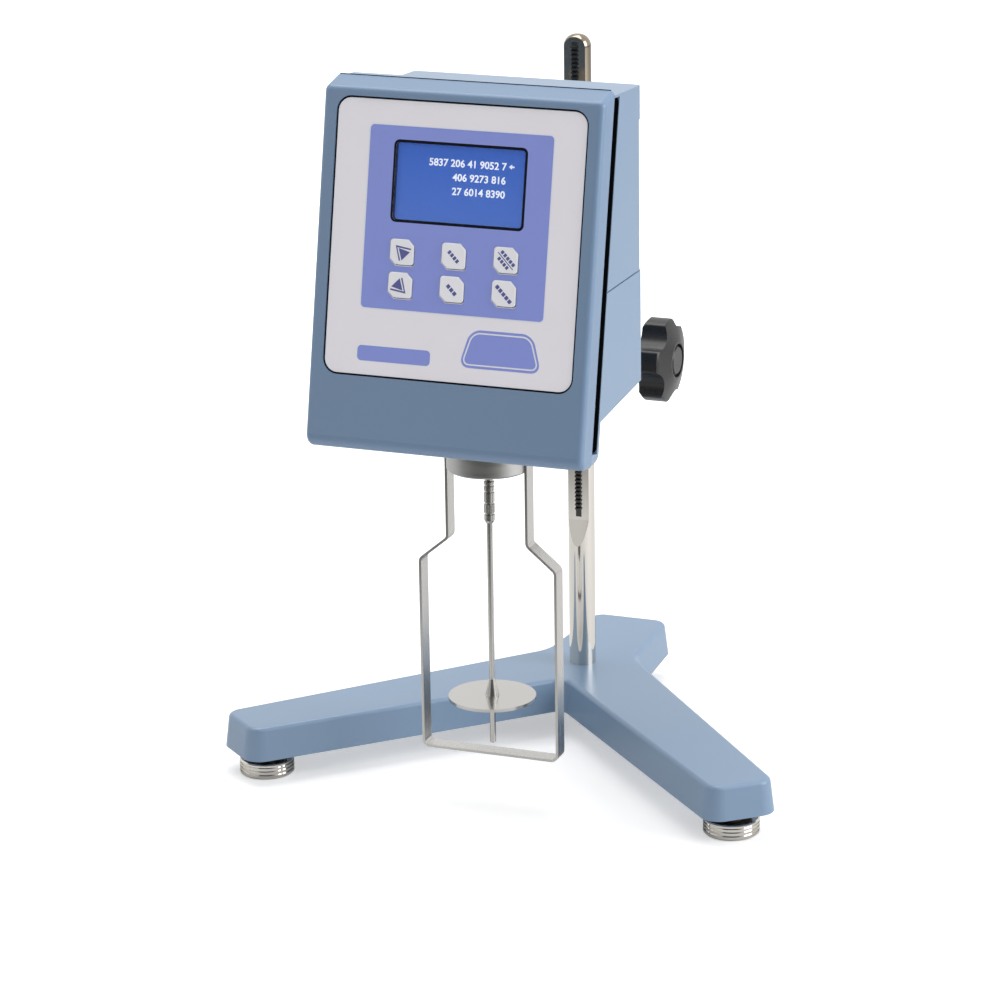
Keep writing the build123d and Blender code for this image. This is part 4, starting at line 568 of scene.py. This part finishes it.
class VISCOMETER_OT_label_print(bpy.types.Operator):
    """Print the violet field, its pale edge, the window border, the plate and the badge"""
    bl_idname = "viscometer.label_print"
    bl_label = "Label print"

    def execute(self, context):
        s = sizes()
        violet = printing("violet_ink", colours().field)
        pale = printing("pale_ink", (0.80, 0.80, 0.86))
        black = printing("black_ink", (0.006, 0.006, 0.010))
        black.node_tree.nodes["Principled BSDF"].inputs["Specular IOR Level"].default_value = 0.1
        edge = PALE_EDGE
        middle = on_panel(s.field_u, s.field_v)
        under = patch("field_edge", middle, s.field_width + 2 * edge, s.field_height + 2 * edge,
                      s.field_corner + edge, s.ink, pale)
        field = patch("violet_field", on_panel(s.field_u, s.field_v, s.ink), s.field_width,
                      s.field_height, s.field_corner, s.ink, violet)
        window = on_panel(s.window_u, s.window_v)
        border = s.window_border
        outer = (s.window_width + 2 * border, s.window_height + 2 * border, WINDOW_CORNER)
        for piece in (under, field):
            holes = [block(window, rounded_patch(*outer), -MM, MM)]
            holes += [block(on_panel(*key_place(node)), key_outline(KEY_CLEARANCE), -MM, MM)
                      for node in KEYS]
            cut(piece, holes)
        ring_patch("window_border", window, *outer, border, 2 * s.ink, black, "label")
        patch("bare_plate", on_panel(*PLATE_AT), s.plate_width, s.plate_height,
              PLATE_CORNER, s.ink, violet)
        patch("bare_badge", on_panel(*BADGE_AT), s.badge_width, s.badge_height, BADGE_CORNER,
              s.ink, violet, lean=BADGE_LEAN)
        ring_patch("badge_line", on_panel(*BADGE_AT, s.ink), s.badge_width - BADGE_LINE_LESS,
                   s.badge_height - BADGE_LINE_LESS, BADGE_LINE_CORNER, s.line, s.ink, pale,
                   "label", lean=BADGE_LEAN)
        # Black ring filling the gap round the label.
        ring_patch("label_gap_black", on_panel(0, 0, -OVERLAY_T), s.label_width + 2 * s.label_gap,
                   s.label_height + 2 * s.label_gap, LABEL_GAP_BLACK_CORNER,
                   s.label_gap - LABEL_GAP_BLACK_PLAY, LABEL_GAP_BLACK_T, black, "gasket")
        return {"FINISHED"}


class VISCOMETER_OT_display(bpy.types.Operator):
    """Fit the clear window, the lit screen and its plain figures"""
    bl_idname = "viscometer.display"
    bl_label = "Display"

    def execute(self, context):
        s = sizes()
        where = (s.window_u, s.window_v)
        cover = patch("display_window", on_panel(*where, COVER_LEVEL),
                      s.window_width - 2 * LINER, s.window_height - 2 * LINER, COVER_CORNER,
                      COVER_T, clear_cover("clear_cover"))
        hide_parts("lcd_glass")
        patch("display_screen", on_panel(*where, SCREEN_LEVEL), s.window_width,
              s.window_height, SCREEN_CORNER, SCREEN_T,
              screen_material("lit_screen", colours().screen))
        ring_patch("display_surround", on_panel(*where, LINER_LEVEL), s.window_width,
                   s.window_height, SCREEN_CORNER, LINER - LINER_PLAY, LINER_T,
                   bpy.data.materials["black_ink"], "black")
        white = printing("lit_figures", (0.92, 0.94, 0.98))
        bright = white.node_tree.nodes["Principled BSDF"]
        bright.inputs["Emission Color"].default_value = (0.9, 0.94, 1, 1)
        bright.inputs["Emission Strength"].default_value = 0.35
        for i, text in enumerate(FIGURE_ROWS):
            v = s.window_v + (FIRST_ROW - ROW_STEP * i) * MM
            figures(f"display_row_{i}", text, s.window_u + ROWS_END, v, FIGURE_HEIGHT, white)
        u, v = POINTER_AT
        finish_piece("display_pointer", arrow_outline(*POINTER), "head", white,
                     on_panel(s.window_u + u, s.window_v + v, POINTER_LEVEL))
        return {"FINISHED"}


def arrow_outline(span, rise, stem):
    """Left-pointing arrow with a short stem."""
    bm = bmesh.new()
    half, neck = rise / 2, span * 0.55
    points = [(-span / 2, 0), (-span / 2 + neck, half), (-span / 2 + neck, stem / 2),
              (span / 2, stem / 2), (span / 2, -stem / 2), (-span / 2 + neck, -stem / 2),
              (-span / 2 + neck, -half)]
    bm.faces.new([bm.verts.new((x, y, 0)) for x, y in reversed(points)])
    thicken(bm, 0.1 * MM)
    return bm


def figures(name, text, u, v, height, made):
    """Plain figures as a flat mesh on the screen, ending at u."""
    font = bpy.data.curves.new(name, "FONT")
    font.body = text
    font.align_x = "RIGHT"
    font.size = height
    font.extrude = 0.04 * MM
    font.offset = 0.10 * MM
    font.resolution_u = 3
    holder = bpy.data.objects.new(name, font)
    bpy.context.collection.objects.link(holder)
    graph = bpy.context.evaluated_depsgraph_get()
    mesh = bpy.data.meshes.new_from_object(holder.evaluated_get(graph))
    bpy.data.objects.remove(holder)
    bm = bmesh.new()
    bm.from_mesh(mesh)
    bpy.data.meshes.remove(mesh)
    return finish_piece(name, bm, "head", made, on_panel(u, v, FIGURE_LEVEL))


class VISCOMETER_OT_gaskets(bpy.types.Operator):
    """Line the groove behind the front with black, and lay a black strip over the seam as painted
    shade of its gap
    """
    bl_idname = "viscometer.gaskets"
    bl_label = "Lining_and_seam_shade"

    def execute(self, context):
        s = sizes()
        dark_lining = bpy.data.materials["dark_lining_and_painted_shade"]
        low, high = s.groove_foot, s.groove_head
        # Black lining over the groove's rear wall.
        ring_patch("groove_lining", on_panel(0, (low + high) / 2, s.groove_floor), s.head_width,
                   high - low, LINING_CORNER, s.groove_depth, LINING_T, dark_lining, "gasket")
        # Black strip standing in the seam's gap: painted shade.
        seam_shade = rounded_patch(s.head_width - SEAM_SHADE_SHORT, SEAM_SHADE_HEIGHT, SEAM_SHADE_CORNER)
        thicken(seam_shade, SEAM_SHADE_T)
        finish_piece("seam_painted_shade", seam_shade, "head", dark_lining,
                     on_panel(0, high + SEAM_SHADE_RISE, s.seam_floor))
        return {"FINISHED"}


class VISCOMETER_OT_key_marks(bpy.types.Operator):
    """Print a plain mark on each key"""
    bl_idname = "viscometer.key_marks"
    bl_label = "Key marks"

    def execute(self, context):
        ink = printing("mark_ink", (0.10, 0.11, 0.33))
        for node in KEYS:
            u, v = key_place(node)
            self.mark(node, u, v, ink)
        return {"FINISHED"}

    def mark(self, node, u, v, ink):
        """Triangle with a bent line on the left keys, slanting rows of blocks on the others."""
        s = sizes()
        body, level = node + "_body", s.key_proud
        if node in ("key_up", "key_down"):
            turn = math.radians(0 if node == "key_up" else 180)
            place = on_panel(u, v, level, turn)
            for part, points in (("triangle", TRIANGLE), ("corner", CORNER_LINE)):
                bm = bmesh.new()
                bm.faces.new([bm.verts.new((x * MM, y * MM, 0)) for x, y in reversed(points)])
                thicken(bm, s.ink)
                finish_piece(f"{node}_{part}", bm, body, ink, place)
            return
        for row, (count, width, height, rise) in enumerate(KEY_ROWS[node]):
            for i in range(count):
                along = (i - (count - 1) / 2) * (width + BLOCK_GAP)
                bm = rounded_patch(width * MM, height * MM, BLOCK_CORNER * MM)
                thicken(bm, s.ink)
                place = on_panel(u, v, level, MARK_SLANT) @ Matrix.Translation(
                    (along * MM, rise * MM, 0))
                finish_piece(f"{node}_mark_{row}_{i}", bm, body, ink, place)


class VISCOMETER_OT_stage(bpy.types.Operator):
    """Floor, light and camera"""
    bl_idname = "viscometer.stage"
    bl_label = "Stage"

    def execute(self, context):
        self.floor()
        self.lights()
        self.world()
        self.camera()
        context.scene.view_settings.view_transform = "Standard"
        return {"FINISHED"}

    def floor(self):
        """Plain pale floor that keeps the shadow."""
        bm = bmesh.new()
        bmesh.ops.create_grid(bm, x_segments=1, y_segments=1, size=FLOOR_SIZE)
        mesh = bpy.data.meshes.new("floor")
        bm.to_mesh(mesh)
        bm.free()
        floor = bpy.data.objects.new("floor", mesh)
        bpy.context.collection.objects.link(floor)
        floor.location.z = -FLOOR_DROP
        made = self.floor_material()
        mesh.materials.append(made)

    def floor_material(self):
        """Matt white, lighter far off; polished metal sees it dim on the viewer's side."""
        made, nodes, links, shader = new_material("pale_floor")
        shader.inputs["Roughness"].default_value = 0.6
        shader.inputs["Specular IOR Level"].default_value = 0.1
        path = nodes.new("ShaderNodeLightPath")
        where = nodes.new("ShaderNodeTexCoord")
        reach = nodes.new("ShaderNodeVectorMath")
        reach.operation = "LENGTH"
        links.new(where.outputs["Object"], reach.inputs[0])
        glow = ramp(nodes, links, reach.outputs["Value"], *FLOOR_REACH, *FLOOR_GLOW)
        seen = times(nodes, links, path.outputs["Is Camera Ray"], glow)
        links.new(seen, shader.inputs["Emission Strength"])
        shader.inputs["Emission Color"].default_value = (1, 1, 1, 1)
        split = nodes.new("ShaderNodeSeparateXYZ")
        links.new(where.outputs["Object"], split.inputs["Vector"])
        near = ramp(nodes, links, split.outputs["Y"], *FLOOR_DIM, 0.0, 1.0)
        dim = times(nodes, links, path.outputs["Is Glossy Ray"], near)
        mix = nodes.new("ShaderNodeMix")
        mix.data_type = "RGBA"
        mix.inputs["A"].default_value = (0.80, 0.80, 0.80, 1)
        mix.inputs["B"].default_value = (0.06, 0.06, 0.055, 1)
        links.new(dim, mix.inputs["Factor"])
        links.new(mix.outputs["Result"], shader.inputs["Base Color"])
        return made

    def lamp(self, name, place, target, size, power):
        """Soft square lamp aimed at a point."""
        light = bpy.data.lights.new(name, "AREA")
        light.shape = "SQUARE"
        light.size = size
        light.energy = power
        lamp = bpy.data.objects.new(name, light)
        lamp.location = place
        lamp.rotation_euler = (Vector(target) - Vector(place)).to_track_quat("-Z", "Y").to_euler()
        bpy.context.collection.objects.link(lamp)

    def lights(self):
        """Soft light from above and the right, weaker from the front."""
        for name, place, size, power in LAMPS:
            self.lamp(name, place, LAMP_TARGET, size, power)

    def world(self):
        """White surroundings; polished metal sees them dark on the viewer's side."""
        world = bpy.data.worlds.new("surroundings")
        world.use_nodes = True
        bpy.context.scene.world = world
        nodes, links = world.node_tree.nodes, world.node_tree.links
        ground = nodes["Background"]
        path = nodes.new("ShaderNodeLightPath")
        where = nodes.new("ShaderNodeTexCoord")
        split = nodes.new("ShaderNodeSeparateXYZ")
        links.new(where.outputs["Generated"], split.inputs["Vector"])
        mirror = ramp(nodes, links, split.outputs["Y"], *SKY_TURN, *WORLD_MIRROR)
        other = blend(nodes, links, path.outputs["Is Glossy Ray"], WORLD_LIGHT, mirror)
        clear = nodes.new("ShaderNodeMath")
        clear.operation = "MAXIMUM"
        links.new(path.outputs["Is Camera Ray"], clear.inputs[0])
        links.new(path.outputs["Is Transmission Ray"], clear.inputs[1])
        level = blend(nodes, links, clear.outputs[0], other, 1.0)
        links.new(level, ground.inputs["Strength"])
        ground.inputs["Color"].default_value = (1, 1, 1, 1)

    def camera(self):
        """Long lens, from the front right and a little above."""
        turn, rise, roll = (math.radians(a) for a in (CAMERA_TURN, CAMERA_RISE, CAMERA_ROLL))
        aim = Vector(CAMERA_AIM) * MM
        back = Vector((math.sin(turn) * math.cos(rise), -math.cos(turn) * math.cos(rise),
                       math.sin(rise)))
        right = Vector((math.cos(turn), math.sin(turn), 0))
        up = back.cross(right)
        c, s = math.cos(roll), math.sin(roll)
        axes = Matrix((c * right - s * up, s * right + c * up, back)).transposed()
        camera = bpy.data.cameras.new("camera")
        camera.sensor_width = CAMERA_SENSOR
        camera.lens = CAMERA_LENS
        holder = bpy.data.objects.new("camera", camera)
        holder.matrix_world = Matrix.Translation(aim + back * CAMERA_DISTANCE) @ axes.to_4x4()
        bpy.context.collection.objects.link(holder)
        bpy.context.scene.camera = holder


class VISCOMETER_PT_panel(bpy.types.Panel):
    """Sidebar panel with the building steps"""
    bl_label = "Viscometer"
    bl_space_type = "VIEW_3D"
    bl_region_type = "UI"
    bl_category = "Viscometer"

    def draw(self, context):
        for step in STEPS:
            self.layout.operator(step.bl_idname)


STEPS = (VISCOMETER_OT_finishes, VISCOMETER_OT_label_print, VISCOMETER_OT_display,
         VISCOMETER_OT_gaskets, VISCOMETER_OT_key_marks, VISCOMETER_OT_stage)
CLASSES = (ViscometerSizes, ViscometerColours, *STEPS, VISCOMETER_PT_panel)


def register():
    """Register the classes and the settings."""
    for cls in CLASSES:
        bpy.utils.register_class(cls)
    bpy.types.Scene.viscometer_sizes = PointerProperty(type=ViscometerSizes)
    bpy.types.Scene.viscometer_colours = PointerProperty(type=ViscometerColours)


def unregister():
    """Remove the settings and the classes."""
    del bpy.types.Scene.viscometer_sizes
    del bpy.types.Scene.viscometer_colours
    for cls in reversed(CLASSES):
        bpy.utils.unregister_class(cls)


def main():
    """Register the classes and run every step."""
    register()
    for step in STEPS:
        group, name = step.bl_idname.split(".")
        getattr(getattr(bpy.ops, group), name)()


if __name__ == "__main__":
    main()
